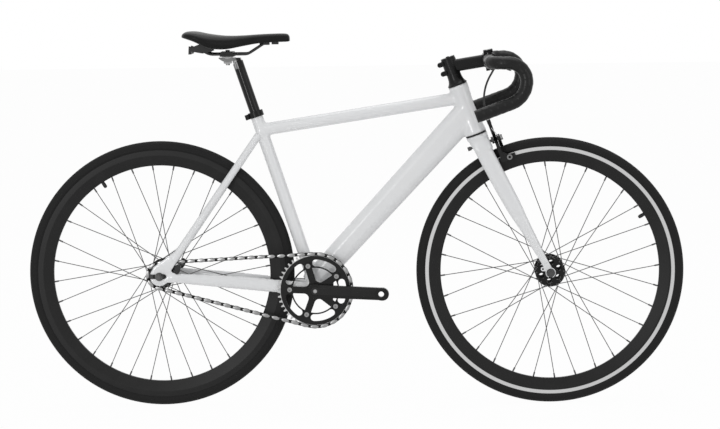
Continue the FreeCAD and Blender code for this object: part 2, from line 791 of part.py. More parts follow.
seat_outer = rod(bracket, on_seat(seat_tube_length), main_tube_radius)
shell_outer = rod_y(shell_radius, -shell_half, shell_half, bracket.x, bracket.z)
post_bore = rod(on_seat(shell_radius + 6), on_seat(seat_tube_length + 5), post_radius + running_fit)
seat_tube = cut(seat_outer, [post_bore, shell_outer])
save("seat_tube", seat_tube)
shell_bore = rod_y(cartridge_radius, -far, far, bracket.x, bracket.z)
save("bottom_bracket_shell", shell_outer.cut(shell_bore))

down_top = head_bottom + steer_up * down_tube_at_head
down_raw = down_top.sub(bracket).normalize()
down_low = bracket + down_raw.cross(Y_DIR) * down_tube_rise
down_span = down_top.sub(down_low)
down_upward = Vec(down_span).normalize().cross(Y_DIR)


def down_section(start, height, shrink):
    half_h = height / 2 - shrink
    half_w = down_tube_width / 2 - shrink
    flat_h = half_h - down_tube_bevel
    flat_w = half_w * 0.46
    upper = [(half_w, flat_h), (flat_w, half_h), (-flat_w, half_h), (-half_w, flat_h)]
    lower = [(w, -h) for w, h in upper[::-1]]
    corners = [start + Y_DIR * w + down_upward * h for w, h in upper + lower]
    return Part.makePolygon(corners + [corners[0]])


def down_loft(shrink):
    return Part.makeLoft([down_section(down_low, down_tube_height, shrink),
                          down_section(down_top, down_tube_head_height, shrink)], True, True)


down_solid = down_loft(0.0)
long_edges = [e for e in down_solid.Edges if e.Length > down_span.Length * 0.9]
down_solid = down_solid.makeFillet(7.0, long_edges)
down_hollow = down_loft(tube_wall)
behind_seat = seat_shape(box(-far, 0, -far, far, -far, far))
crown_swing = 48.0
fork_room = steering_shape(rod_z(crown_swing, -far, -seal_height - 4))
down_outer = cut(down_solid, [head_outer, shell_outer, seat_outer, behind_seat, fork_room])
down_tube = down_outer.cut(down_hollow)
save("down_tube", largest(down_tube))

top_start = on_seat(top_tube_at_seat)
top_end = head_bottom + steer_up * top_tube_at_head
top_solid = rod(top_start, top_end, main_tube_radius)
top_hollow = rod(top_start, top_end, main_tube_radius - tube_wall)
top_tube = cut(top_solid, [head_outer, seat_outer, down_solid, top_hollow])
save("top_tube", largest(top_tube))

# rear triangle
plate_y = (rear_plate_in + rear_plate_out) / 2
stay_foot = Vec(35.6, 0, 40)
stay_socket = Vec(34, 0, -3)
socket_radius = 13.0
stay_lug_radius = 9.5
dropout_boss_radius = 24.5
# outline of the dropout's sheet between its boss and the seatstay, from the axle
dropout_sheet = [(-21, 12), (-15, 24.7), (39, 62.5), (44, 58), (30, 22), (0, 0)]
slot_end = 12.0


def dropout_plate_shape():
    start = Vec(0, rear_plate_in, 0)
    stay = bar_link(start + Vec(4, 0, -2), start + stay_socket, socket_radius, dropout_plate, Y_DIR)
    upper = chain_of_links([start + Vec(4, 0, 8), start + Vec(22, 0, 20), start + stay_foot], stay_lug_radius,
                           dropout_plate, Y_DIR)
    boss = rod_y(dropout_boss_radius, rear_plate_in, rear_plate_out)
    fill = prism([start, start + stay_socket, start + Vec(30, 0, 22)], Vec(0, dropout_plate, 0))
    sheet = prism([start + Vec(x, 0, z) for x, z in dropout_sheet], Vec(0, dropout_plate, 0))
    slot_half = rear_axle_radius + slot_gap
    slot = fuse([box(-far, slot_end, rear_plate_in - 1, rear_plate_out + 1, -slot_half, slot_half),
                 rod_y(slot_half, rear_plate_in - 1, rear_plate_out + 1, slot_end, 0)])
    return fuse([boss, stay, upper, fill, sheet]).cut(slot)


plug_spot = rear_axle + Vec(46, 0, 18.5)
plug_lean = 75.0
plug_half_long = 13.0
plug_half_short = 7.5


def plug_shape(y0, y1, grow):
    wire = ellipse_wire(Vec(plug_spot.x, y0, plug_spot.z), Y_DIR, polar(1, plug_lean),
                        plug_half_long + grow, plug_half_short + grow)
    return Part.Face(wire).extrude(Vec(0, y1 - y0, 0))


plug_room = plug_shape(rear_plate_in - 5, rear_plate_out + 5, 0.0)
left_plate = on_axle(dropout_plate_shape(), rear_axle).cut(plug_room)


def stay_loft(stations):
    wires = []
    for k, (centre, tall, wide) in enumerate(stations):
        before = stations[max(k - 1, 0)][0]
        after = stations[min(k + 1, len(stations) - 1)][0]
        heading = after.sub(before).normalize()
        side = Y_DIR - heading * heading.dot(Y_DIR)
        upward = side.normalize().cross(heading) * -1
        wires.append(ellipse_wire(centre, heading, upward.normalize(), tall / 2, wide / 2))
    return Part.makeLoft(wires, True, False)


# each chainstay station: centre, height and width
chain_stay_points = [(bracket + Vec(-14, 24, 3), 30, 18), (bracket + Vec(-88, 28.5, 9), 33, 16),
                     (rear_axle + Vec(194, 37, -20), 33, 17), (rear_axle + Vec(94, 52, -10), 28, 15),
                     (rear_axle + Vec(31, plate_y, -3.2), 23, 9.5)]
left_chainstay = stay_loft(chain_stay_points)
inner_stay = stay_loft([(c, t - 2 * tube_wall, w - 2 * tube_wall) for c, t, w in chain_stay_points[:4]])
left_chainstay = cut(left_chainstay, [inner_stay, shell_outer, seat_outer, down_outer, left_plate])
left_chainstay = largest(left_chainstay)

stay_join = Vec(-9, 14, 0)
stay_radius = 9.2
stay_end_radius = 7.4
stay_wall = 1.8
stay_top = on_seat(seatstay_at_seat) + stay_join
stay_low = rear_axle + stay_foot + Y_DIR * (plate_y - 0.5)
stay_run = stay_low.sub(stay_top)
left_seatstay = Part.makeCone(stay_radius, stay_end_radius, stay_run.Length, stay_top, stay_run)
stay_hollow = Part.makeCone(stay_radius - stay_wall, stay_end_radius - stay_wall, stay_run.Length * 0.86,
                            stay_top + stay_run * 0.02, stay_run)
left_seatstay = largest(cut(left_seatstay, [stay_hollow, seat_outer, left_plate]))
left_plug = cut(plug_shape(rear_plate_in - 1, rear_plate_out - 1, -seat_gap), [left_chainstay, left_seatstay])

save("rear_dropouts", pair(left_plate))
save("chainstays", pair(left_chainstay))
save("seatstays", pair(left_seatstay))
save("dropout_plugs", pair(left_plug))

# seat clamp round the top of the seat tube
collar_height = 13.0
collar_wall = 3.7
collar_lip = 1.5
ear_reach = 8.4
ear_half = 8.0
slit_half = 1.0
clamp_bolt_radius = 2.5
clamp_head_radius = 4.4
clamp_head = 4.0
clamp_hex = 4.0
collar_low = seat_tube_length - collar_height
collar_radius = main_tube_radius + collar_wall
ear_back = -collar_radius - ear_reach
bolt_x = ear_back + 5
bolt_z = seat_tube_length - collar_height / 2
collar = fuse([rod_z(collar_radius, collar_low, seat_tube_length + collar_lip),
               box(ear_back, -main_tube_radius + 2, -ear_half, ear_half, collar_low, seat_tube_length)])
collar = cut(collar, [rod_z(main_tube_radius, collar_low - 1, seat_tube_length),
                      rod_z(post_radius + 0.8, seat_tube_length - 1, seat_tube_length + 5),
                      box(-far, -main_tube_radius + 4, -slit_half, slit_half, collar_low - 1,
                          seat_tube_length + 5),
                      rod_y(clamp_bolt_radius, -far, far, bolt_x, bolt_z)])
clamp_bolt = fuse([rod_y(clamp_bolt_radius, -ear_half, ear_half, bolt_x, bolt_z),
                   rod_y(clamp_head_radius, -ear_half - clamp_head, -ear_half, bolt_x, bolt_z)])
clamp_bolt = clamp_bolt.cut(hex_y(clamp_hex, -ear_half - clamp_head - 1, -ear_half - 1.5, bolt_x, bolt_z))
save("seat_clamp", seat_shape(Part.makeCompound([collar, clamp_bolt])))

# fork: steerer and crown, blades, tips
crown_depth = 46.0
crown_seat_radius = 28.0
crown_seat_height = 9.0
steerer_wall = 2.6
tyre_clearance = 9.0
tyre_side_clearance = 7.0
brake_bolt_radius = 3.0
brake_nut_radius = 5.0
steerer_top = head_length + headset_cover_height + stem_clamp_height - 3
steerer = rod_z(steerer_radius, -seal_height - 2, steerer_top)
steerer = steerer.cut(rod_z(steerer_radius - steerer_wall, 4, steerer_top + 1))


def rounded_rectangle(z, x0, x1, half_y, radius):
    plate = box(x0, x1, -half_y, half_y, z, z + 1)
    upright = [e for e in plate.Edges if abs(e.Vertexes[0].Z - e.Vertexes[-1].Z) > 0.5]
    plate = plate.makeFillet(radius, upright)
    low = [f for f in plate.Faces if abs(f.CenterOfMass.z - z) < 0.01][0]
    return low.OuterWire


# each crown section: height, back, front, half width and corner radius
crown_sections = [(-8, -26, 27, 27, 20), (-24, -22, 27, 38, 14), (-crown_depth, -17, 29, 43, 13)]
crown_seat_top = -seal_height - body_gap
crown_top = rod_z(crown_seat_radius, crown_seat_top - crown_seat_height, crown_seat_top)
crown_block = Part.makeLoft([rounded_rectangle(*s) for s in crown_sections], True, False)
axle_local = Vec(fork_rake, 0, -fork_length)
tyre_room_half = section_half + tyre_side_clearance
tyre_room = rod_y(wheel_radius + tyre_clearance, -tyre_room_half, tyre_room_half, axle_local.x, axle_local.z)
bolt_tunnel = rod_x(brake_bolt_radius + 0.1, -60, 60, 0, -brake_bolt_drop)
nut_pocket = rod_x(brake_nut_radius + 0.2, -80, -20, 0, -brake_bolt_drop)
crown = largest(cut(fuse([crown_top, crown_block, steerer]), [tyre_room, bolt_tunnel, nut_pocket]))
crown_world = steering_shape(crown)
save("fork_crown", crown_world)

blade_top_behind = 157.0
blade_top_above = 293.0
blade_top_y = 30.5
blade_top = front_axle + Vec(-blade_top_behind, 0, blade_top_above)
blade_run = front_axle.sub(blade_top)
blade_spread = (front_plate_in + front_plate_out) / 2 - blade_top_y
# each blade station: part of the run, part of the spread, depth and width
blade_stations = [(-0.1, 0, 44, 21), (0.19, 0.16, 39, 20), (0.44, 0.42, 34.5, 18), (0.6, 0.62, 26, 16),
                  (0.74, 0.8, 20.5, 14), (0.925, 1.0, 17.5, 8)]


def blade_loft(stations, inset):
    return stay_loft([(blade_top + blade_run * along + Y_DIR * (blade_top_y + blade_spread * out),
                       tall - 2 * inset, wide - 2 * inset) for along, out, tall, wide in stations])


tip_dir = Vec(blade_run).normalize()
tip_neck_length = 30.0
tip_neck_radius = 8.6
tip_eye_radius = 13.0
eyelet_radius = 2.5
eyelet_wall = 2.9
eyelet_spot = front_axle + Vec(-19.5, 0, 9.5)


def fork_tip():
    start = Vec(front_axle.x, front_plate_in, front_axle.z)
    neck = bar_link(start - tip_dir * tip_neck_length, start, tip_neck_radius, fork_tip_plate, Y_DIR)
    eye_disc = rod_y(tip_eye_radius, front_plate_in, front_plate_out, front_axle.x, front_axle.z)
    lug_base = Vec(eyelet_spot.x, front_plate_in, eyelet_spot.z)
    lug_ring = rod_y(eyelet_radius + eyelet_wall, front_plate_in, front_plate_out, eyelet_spot.x,
                     eyelet_spot.z)
    lug = fuse([lug_ring, bar_link(lug_base, start + Vec(-8, 0, 6), 4.0, fork_tip_plate, Y_DIR)])
    half = front_axle_radius + slot_gap
    slot = fuse([box(front_axle.x - half, front_axle.x + half, 0, far, front_axle.z - 40, front_axle.z),
                 rod_y(half, 0, far, front_axle.x, front_axle.z)])
    eyelet = rod_y(eyelet_radius, 0, far, eyelet_spot.x, eyelet_spot.z)
    return cut(fuse([neck, eye_disc, lug]), [slot, eyelet])


left_tip = fork_tip()
blade_hollow = blade_loft(blade_stations[:5], tube_wall)
left_blade = largest(cut(blade_loft(blade_stations, 0.0), [left_tip, crown_world, blade_hollow]))
save("fork_blades", pair(left_blade))
save("fork_tips", pair(left_tip))

# headset cover, stem and cap
cover_radius = 25.0
cover_edge = 3.0
cover_top_radius = 17.6
cover_low = head_length + body_gap
cover_top = head_length + headset_cover_height
cover_edge_high = Vec(cover_radius, 0, cover_low + cover_edge)
cover_foot = Vec(cover_radius, 0, cover_low)
cover_brim = Vec(cover_top_radius, 0, cover_top)
cover_inside = [Vec(steerer_radius, 0, cover_top), Vec(steerer_radius, 0, cover_low)]
cover_curve = Part.BSplineCurve()
cover_curve.interpolate([cover_edge_high, Vec(20.6, 0, cover_low + 9), Vec(18.3, 0, cover_low + 18),
                         cover_brim])
cover_lines = [Part.LineSegment(cover_inside[1], cover_foot), Part.LineSegment(cover_foot, cover_edge_high),
               cover_curve, Part.LineSegment(cover_brim, cover_inside[0]), Part.LineSegment(*cover_inside)]
cover = Part.Face(Part.Wire([c.toShape() for c in cover_lines])).revolve(Vec(0, 0, 0), Z_DIR, 360)
save("headset_cover", steering_shape(cover))

stem_post_radius = 18.8
clamp_ring_radius = 20.0
clamp_half = 21.0
split_half = 0.8
ear_tall = 26.0
ear_behind = 10.0
ear_ahead = 9.0
beam_half_width = 15.0
beam_half_height = 15.5
beam_fillet = 9.0
beam_overlap = 8.0
pinch_behind = 25.0
pinch_half = 12.0
pinch_rise = 12.0
pinch_lug_radius = 6.0
stem_bolt_radius = 2.5
stem_bolt_room = 2.6
stem_socket_radius = 2.2
face_bolt_side = 14.0
face_bolt_rise = 22.0
stem_low = cover_top
stem_high = stem_low + stem_clamp_height
stem_middle = (stem_low + stem_high) / 2
slope_dir = Vec(math.cos(math.radians(stem_slope)), 0, math.sin(math.radians(stem_slope)))
bar_local = Vec(0, 0, stem_middle) + slope_dir * stem_length
bar_centre = head_bottom + steer_out * bar_local.x + steer_up * bar_local.z


def stem_frame(shape):
    return moved(shape, bar_local, -stem_slope)


clamp_ring = rod_y(clamp_ring_radius, -clamp_half, clamp_half)
back_ears = box(-ear_behind, -split_half, -clamp_half, clamp_half, -ear_tall, ear_tall)
stem_front = fuse([clamp_ring, back_ears]).cut(box(-split_half, far, -far, far, -far, far))
beam_box = box(-stem_length + 6, -beam_overlap, -beam_half_width, beam_half_width, -beam_half_height,
               beam_half_height)
beam_edges = [e for e in beam_box.Edges if abs(e.Vertexes[0].X - e.Vertexes[-1].X) > 1]
beam = beam_box.makeFillet(beam_fillet, beam_edges)
pinch_heights = [stem_middle - pinch_rise, stem_middle + pinch_rise]
pinch = [fuse([rod_y(pinch_lug_radius, -pinch_half, pinch_half, -pinch_behind, h),
               box(-pinch_behind, -beam_overlap, -pinch_half, pinch_half, h - pinch_lug_radius,
                   h + pinch_lug_radius)]) for h in pinch_heights]
stem_post = rod_z(stem_post_radius, stem_low, stem_high)
stem_body = fuse([stem_post, stem_frame(fuse([stem_front, beam]))] + pinch)
face_bolt_spots = [(y, z) for y in (-face_bolt_side, face_bolt_side)
                   for z in (-face_bolt_rise, face_bolt_rise)]
stem_tools = [rod_z(steerer_radius, stem_low - 1, stem_high + far),
              stem_frame(rod_y(bar_clamp_radius, -far, far)),
              box(-60, -10, -slit_half, slit_half, stem_low - 1, stem_high + 1),
              rod_z(stem_post_radius + 0.1, stem_high, stem_high + 30)]
stem_tools += [rod_y(stem_bolt_room, -far, far, -pinch_behind, h) for h in pinch_heights]
stem_tools += [stem_frame(rod_x(stem_bolt_radius, -30, 10, y, z)) for y, z in face_bolt_spots]
save("stem_body", steering_shape(largest(cut(stem_body, stem_tools))))

front_ears = box(split_half, ear_ahead, -clamp_half, clamp_half, -ear_tall, ear_tall)
plate = fuse([clamp_ring, front_ears]).cut(box(-far, split_half, -far, far, -far, far))
plate = cut(plate, [rod_y(bar_clamp_radius, -far, far), box(10, 40, -8, 8, -12, 12)]
            + [rod_x(stem_bolt_room, -30, 10, y, z) for y, z in face_bolt_spots])
save("stem_faceplate", steering_shape(stem_frame(plate)))

stem_bolts = []
for y, z in face_bolt_spots:
    bolt = fuse([rod_x(stem_bolt_radius, -8, ear_ahead, y, z), rod_x(4.2, ear_ahead, ear_ahead + 4.5, y, z)])
    stem_bolts.append(stem_frame(bolt.cut(rod_x(stem_socket_radius, ear_ahead + 2, ear_ahead + 6, y, z))))
for h in pinch_heights:
    bolt = fuse([rod_y(stem_bolt_radius, -pinch_half, pinch_half, -pinch_behind, h),
                 rod_y(4.4, -pinch_half - 4, -pinch_half, -pinch_behind, h)])
    socket = rod_y(stem_socket_radius, -pinch_half - 5, -pinch_half - 1, -pinch_behind, h)
    stem_bolts.append(bolt.cut(socket))
save("stem_bolts", steering_shape(Part.makeCompound(stem_bolts)))
cap_radius = 18.0
cap_height = 4.5
cap_screw_radius = 4.0
cap_screw_height = 6.5
cap = fuse([rod_z(cap_radius, stem_high, stem_high + cap_height),
            rod_z(cap_screw_radius, stem_high, stem_high + cap_screw_height)])
cap = cap.cut(rod_z(stem_socket_radius + 0.2, stem_high + 3, stem_high + cap_screw_height + 1))
save("stem_cap", steering_shape(cap))

# handlebar, built in level axes about the bar clamp, then tape and end plugs
hook_x = bar_reach - hook_radius
tail = math.radians(drop_end_slope)
tail_dir = Vec(-math.cos(tail), 0, -math.sin(tail))
drop_centre = Vec(bar_reach - drop_radius, 0, -hook_radius)
turn_end = drop_centre + Vec(drop_radius * math.sin(tail), 0, -drop_radius * math.cos(tail))
bar_end = turn_end + tail_dir * drop_tail


def right_side(v):
    return Vec(v.x, -bar_half_width, v.z)


corner_radius = hook_x
swing = math.sqrt(0.5)
spiral = -35.0


def bar_path(start_y):
    corner_in = Vec(0, -bar_half_width + corner_radius, 0)
    corner_out = right_side(Vec(corner_radius, 0, 0))
    corner_mid = Vec(corner_radius * (1 - swing), -bar_half_width + corner_radius * (1 - swing), 0)
    hook_mid = right_side(Vec(hook_x + hook_radius * swing, 0, -hook_radius + hook_radius * swing))
    hook_end = right_side(Vec(bar_reach, 0, -hook_radius))
    drop_mid = right_side(drop_centre + polar(drop_radius, spiral))
    return Part.Wire([
        Part.LineSegment(Vec(0, start_y, 0), corner_in).toShape(),
        Part.Arc(corner_in, corner_mid, corner_out).toShape(),
        Part.Arc(corner_out, hook_mid, hook_end).toShape(),
        Part.Arc(hook_end, drop_mid, right_side(turn_end)).toShape(),
        Part.LineSegment(right_side(turn_end), right_side(bar_end)).toShape()])


def at_bar(shape):
    return moved(shape, bar_centre)


bulge_half = 40.0
taper_end = 58.0
lever_half = 9.0
lever_in = lever_pivot_side - lever_half
lever_out = lever_pivot_side + lever_half
tape_start = lever_out + 4
half_bar = pipe(bar_path(-taper_end + 1), bar_radius)
half_bore = pipe(bar_path(-taper_end + 1), bar_radius - bar_wall)
middle_points = [(0, -taper_end), (bar_radius, -taper_end), (bar_clamp_radius, -bulge_half),
                 (bar_clamp_radius, bulge_half), (bar_radius, taper_end), (0, taper_end)]
middle = revolve([Vec(r, y, 0) for r, y in middle_points], Y_DIR)
middle_bore = rod_y(bar_radius - bar_wall, -taper_end, taper_end)
handlebar = fuse([middle, half_bar, mirrored(half_bar)])
handlebar = cut(handlebar, [half_bore, mirrored(half_bore), middle_bore])
save("handlebar", at_bar(handlebar))
tape_skin = pipe(bar_path(-tape_start), tape_radius).cut(pipe(bar_path(-tape_start), bar_radius))
save("bar_tape", at_bar(pair(tape_skin)))
end_plug_lip = 4.0
end_plug_depth = 12.0
plug_back = right_side(bar_end)
plug_rim = rod(plug_back, plug_back + tail_dir * end_plug_lip, tape_radius - 0.6)
plug_core = rod(plug_back - tail_dir * end_plug_depth, plug_back + tail_dir, bar_radius - bar_wall)
save("bar_end_plugs", at_bar(pair(fuse([plug_rim, plug_core]))))

# brake lever on the right of the bar top, in its own plane sloping down to the front
pivot_x = 30.0
pivot_y = -lever_pivot_side
blade_half = 3.0
blade_radius = 5.2
lever_band = 5.0
lever_lug_half = 8.0
lever_lug_reach = 40.0
lever_pin_radius = 2.5
stop_x = 22.0
stop_radius = 5.0
stop_length = 12.0


def lever_frame(shape):
    return moved(shape, bar_centre, lever_slope)


lug = box(8, lever_lug_reach, -lever_out, -lever_in, -lever_lug_half, lever_lug_half)
lug_edges = [e for e in lug.Edges if abs(e.Vertexes[0].Y - e.Vertexes[-1].Y) > 1]
lug = lug.makeFillet(4.0, lug_edges)
stop = rod_y(stop_radius, -lever_in, -lever_in + stop_length, stop_x, 0)
lever_body = fuse([rod_y(bar_radius + lever_band, -lever_out, -lever_in), lug, stop])
blade_room_half = blade_half + body_gap
blade_room = box(bar_radius + lever_band, far, -far, -lever_in - 1.5, -blade_room_half, blade_room_half)
pin_hole = rod_z(lever_pin_radius, -far, far, pivot_x, pivot_y)
wire_hole = rod_y(wire_radius + 0.4, -lever_in - 2, -lever_in + far, stop_x, 0)
lever_body = cut(lever_body, [rod_y(bar_radius, -far, far), blade_room, pin_hole, wire_hole])
pivot_pin = fuse([rod_z(lever_pin_radius, -lever_lug_half, lever_lug_half, pivot_x, pivot_y),
                  rod_z(4.0, lever_lug_half, lever_lug_half + 1.2, pivot_x, pivot_y)])
save("brake_lever_body", lever_frame(Part.makeCompound([lever_body, pivot_pin])))
blade_length = bar_half_width - lever_tip_inset - lever_pivot_side
# each point of the blade: part of its length, distance ahead of the bar
blade_bow = [(0, pivot_x), (0.21, 43), (0.5, 50.5), (0.78, 51), (1, 48)]
blade_points = [Vec(x, pivot_y - blade_length * part, -blade_half) for part, x in blade_bow]
blade = chain_of_links(blade_points, blade_radius, 2 * blade_half, Z_DIR)
blade = blade.cut(rod_z(lever_pin_radius + running_fit, -far, far, pivot_x, pivot_y))
save("brake_lever_blade", lever_frame(blade))

# front caliper, in steering axes about its pivot bolt
pivot_up = -brake_bolt_drop
right_layer = 37.0
left_layer = 46.0
layer = 8.6
caliper_boss_radius = 10.0
pivot_sleeve_radius = 4.0
cable_side = -33.0
upper_rise = 48.0
lower_rise = 2.0
adjuster_radius = 5.0
adjuster_height = 15.0
anchor_radius = 5.0
anchor_height = 4.0
pad_face = rim_width / 2 + pad_gap
pad_back = pad_face + pad_thickness
arm_foot = pad_back + pad_stem
foot_side = arm_foot + arm_half_width
pad_lead = 18.0
pad_x = right_layer + layer / 2 + pad_lead
pad_z = pivot_up - caliper_reach
toe_half = 7.0
toe_rise = 27.0


def caliper_toe(start):
    outside = -foot_side - arm_half_width
    heel = Vec(start, outside, pad_z)
    toe = Vec(pad_x, outside, pad_z)
    sole = bar_link(heel + X_DIR * (layer / 2), toe, toe_half, 2 * arm_half_width, Y_DIR)
    shin = prism([heel + Z_DIR * toe_rise, toe + Z_DIR * toe_half, heel], Y_DIR * (2 * arm_half_width))
    return fuse([sole, shin])


def caliper_arm(start, points, side):
    path = [Vec(start, y * side, pivot_up + z) for y, z in points]
    return chain_of_links(path, arm_half_width, layer, X_DIR)


leg = [(0, 0), (-foot_side - 2, -caliper_reach * 0.25), (-foot_side - 3.5, -caliper_reach * 0.615),
       (-foot_side, -caliper_reach)]
pivot_hole = rod_x(pivot_sleeve_radius + running_fit, 20, 80, 0, pivot_up)
eye_right, eye_left = [rod_x(caliper_boss_radius, x, x + layer, 0, pivot_up)
                       for x in (right_layer, left_layer)]
right_leg = caliper_arm(right_layer, leg, 1)
right_horn = caliper_arm(right_layer, [(0, 0), (cable_side * 0.55, 20), (cable_side, upper_rise)], 1)
left_leg = caliper_arm(left_layer, leg, -1)
left_horn = caliper_arm(left_layer, [(0, 0), (cable_side, lower_rise)], 1)
wire_x = right_layer + layer / 2
horn_top = pivot_up + upper_rise
housing_stop = rod_z(adjuster_radius, horn_top - 4, horn_top + adjuster_height, wire_x, cable_side)
stop_bore = rod_z(wire_radius + 0.4, pivot_up, horn_top + far, wire_x, cable_side)
right_toe = caliper_toe(right_layer)
left_toe = mirrored(caliper_toe(left_layer))
right_caliper = fuse([right_leg, right_toe, right_horn, eye_right, housing_stop])
right_caliper = cut(right_caliper, [pivot_hole, stop_bore])
left_caliper = cut(fuse([left_leg, left_toe, left_horn, eye_left]), [pivot_hole])
save("caliper_arm_right", steering_shape(right_caliper))
arm_front = left_layer + layer
anchor = rod_x(anchor_radius, arm_front, arm_front + anchor_height, cable_side, pivot_up + lower_rise)
save("caliper_arm_left", steering_shape(Part.makeCompound([left_caliper, anchor])))

pad_behind = 28.0
pad_ahead = 16.0
pad_half_height = 5.0
pad_stem_radius = 3.2
pad_screw_radius = 7.0
pad_screw_head = 3.0
pad_hex = 6.0


def brake_pad():
    arm_out = arm_foot + 2 * arm_half_width
    rubber = box(pad_x - pad_behind, pad_x + pad_ahead, -pad_back, -pad_face, pad_z - pad_half_height,
                 pad_z + pad_half_height)
    rubber = rubber.makeFillet(2.0, [e for e in rubber.Edges if abs(e.Vertexes[0].Y - e.Vertexes[-1].Y) > 1])
    stem = rod_y(pad_stem_radius, -arm_foot, -pad_back, pad_x, pad_z)
    screw = rod_y(pad_screw_radius, -arm_out - pad_screw_head, -arm_out + 1, pad_x, pad_z)
    socket = hex_y(pad_hex, -arm_out - far, -arm_out - pad_screw_head / 2, pad_x, pad_z)
    return Part.makeCompound([fuse([rubber, stem]), screw.cut(socket)])


right_pad = brake_pad().cut(right_caliper)
left_pad = mirrored(brake_pad()).cut(left_caliper)
save("brake_pad_right", steering_shape(right_pad))
save("brake_pad_left", steering_shape(left_pad))

bolt_back = -28.0
sleeve_back = 28.0
cap_back = arm_front + body_gap
caliper_bolt = fuse([rod_x(brake_bolt_radius, bolt_back, sleeve_back, 0, pivot_up),
                     rod_x(pivot_sleeve_radius, sleeve_back, arm_front + 1, 0, pivot_up),
                     rod_x(caliper_boss_radius - 1, sleeve_back + 3, right_layer - body_gap, 0, pivot_up),
                     rod_x(caliper_boss_radius - 3, cap_back, cap_back + 5, 0, pivot_up),
                     rod_x(brake_nut_radius, bolt_back - 5, bolt_back + 4, 0, pivot_up)])
save("caliper_bolt", steering_shape(caliper_bolt.cut(crown)))

# brake cable: housing from the lever to the caliper, bare wire between the caliper arms
stop_end = lever_frame(Part.Vertex(stop_x, -lever_in + stop_length, 0)).Point
adjuster_top = in_steering(wire_x, cable_side, horn_top + adjuster_height)
fall = Vec(-0.5, 0, -math.sqrt(0.75))
bend = cable_side - stop_end.y
corner_one = Vec(stop_end.x, cable_side, stop_end.z)
rise = (adjuster_top.x - corner_one.x) * steer_up.z - (adjuster_top.z - corner_one.z) * steer_up.x
spread = fall.x * steer_up.z - fall.z * steer_up.x
corner_two = corner_one + fall * (rise / spread)
leave = min(adjuster_top.sub(corner_two).Length, corner_two.sub(corner_one).Length - bend)
turn_two = (corner_one.sub(corner_two)).getAngle(adjuster_top.sub(corner_two)) / 2
housing_wire = bent_wire([stop_end, corner_one, corner_two, adjuster_top],
                         [bend * 0.999, (leave - 0.5) * math.tan(turn_two)])
save("brake_housing", pipe(housing_wire, housing_radius))
anchor_x = left_layer + layer / 2
wire_top = in_steering(wire_x, cable_side, horn_top - 15)
wire_low = in_steering(anchor_x, cable_side, pivot_up + lower_rise + arm_half_width + body_gap)
save("brake_wire", rod(wire_top, wire_low, wire_radius))

# seatpost with its open bowl head, cradle and bolt
post_wall = 2.4
post_below_rail = 19.0
bowl_half = 16.0
neck_radius = 10.5
neck_half = 12.0
bolt_swing = 9.0
cradle_bolt_radius = 3.0
washer_half = 7.0
washer_thickness = 5.0
tilt_centre = Vec(cradle_x, 0, rail_height + tilt_above_rail)
post_top_s = (rail_height - post_below_rail - bracket.z) / math.sin(math.radians(seat_angle))
post_low_s = seat_tube_length - post_insertion
post = rod(on_seat(post_low_s), on_seat(post_top_s), post_radius)
post_bore = rod(on_seat(post_low_s - 1), on_seat(post_top_s - 33), post_radius - post_wall)
bowl_outer = bowl_radius + bowl_wall
bowl = ring_y(bowl_outer, bowl_radius, -bowl_half, bowl_half, tilt_centre.x, tilt_centre.z)
head_top_z = rail_height - rail_radius - 6
above_head = box(tilt_centre.x - far, tilt_centre.x + far, -far, far, head_top_z, tilt_centre.z + far)
neck_start = on_seat(post_top_s - 10) - Y_DIR * neck_half
neck_end = Vec(tilt_centre.x + 21, -neck_half, tilt_centre.z - 19)
neck = bar_link(neck_start, neck_end, neck_radius, 2 * neck_half, Y_DIR)
below_bowl = tilt_centre.z - 2 * bowl_outer
slot_side = cradle_bolt_radius + body_gap
bolt_slot = box(cradle_x - bolt_swing, cradle_x + bolt_swing, -slot_side, slot_side, below_bowl,
                tilt_centre.z)
washer_room_half = washer_half + 2
washer_room = ring_y(bowl_outer + 9, bowl_outer, -washer_room_half, washer_room_half, tilt_centre.x,
                     tilt_centre.z)
under_bowl = box(cradle_x - 22, cradle_x + 17, -far, far, below_bowl, tilt_centre.z)
washer_room = washer_room.common(under_bowl)
bowl_space = rod_y(bowl_radius, -far, far, tilt_centre.x, tilt_centre.z)
seatpost = cut(fuse([post, neck, bowl]), [post_bore, bowl_space, bolt_slot, washer_room, above_head])
save("seatpost", largest(seatpost))

rail_fit = rail_radius + running_fit
cradle_half_x = 18.0
cradle_half_y = rail_spread + 6
cradle_wall = 2.5
rail_split = 0.3
grooves = [rod_x(rail_fit, cradle_x - far, cradle_x + far, y, rail_height)
           for y in (-rail_spread, rail_spread)]
seat_pad = rod_y(bowl_radius - running_fit, -bowl_half + 1, bowl_half - 1, tilt_centre.x, tilt_centre.z)
seat_pad = seat_pad.common(box(cradle_x - far, cradle_x + far, -far, far, 0, rail_height - rail_radius - 2))
lower_plate = box(cradle_x - cradle_half_x, cradle_x + cradle_half_x, -cradle_half_y, cradle_half_y,
                  rail_height - rail_radius - cradle_wall, rail_height - rail_split)
bolt_hole = rod_z(cradle_bolt_radius + 0.1, rail_height - far, rail_height + far, cradle_x, 0)
lower_cradle = cut(fuse([seat_pad, lower_plate]), grooves + [bolt_hole])
cradle_top = rail_height + rail_radius + cradle_wall
upper_plate = box(cradle_x - cradle_half_x + 2, cradle_x + cradle_half_x - 2, -cradle_half_y, cradle_half_y,
                  rail_height + rail_split, cradle_top)
upper_cradle = cut(upper_plate, grooves + [bolt_hole])
washer = ring_y(bowl_outer + washer_thickness, bowl_outer + running_fit, -washer_half, washer_half,
                tilt_centre.x, tilt_centre.z)
washer = washer.common(box(cradle_x - 10, cradle_x + 10, -far, far, below_bowl, tilt_centre.z))
bolt_low = tilt_centre.z - bowl_outer - washer_thickness
bolt_shank = rod_z(cradle_bolt_radius, bolt_low, cradle_top, cradle_x, 0)
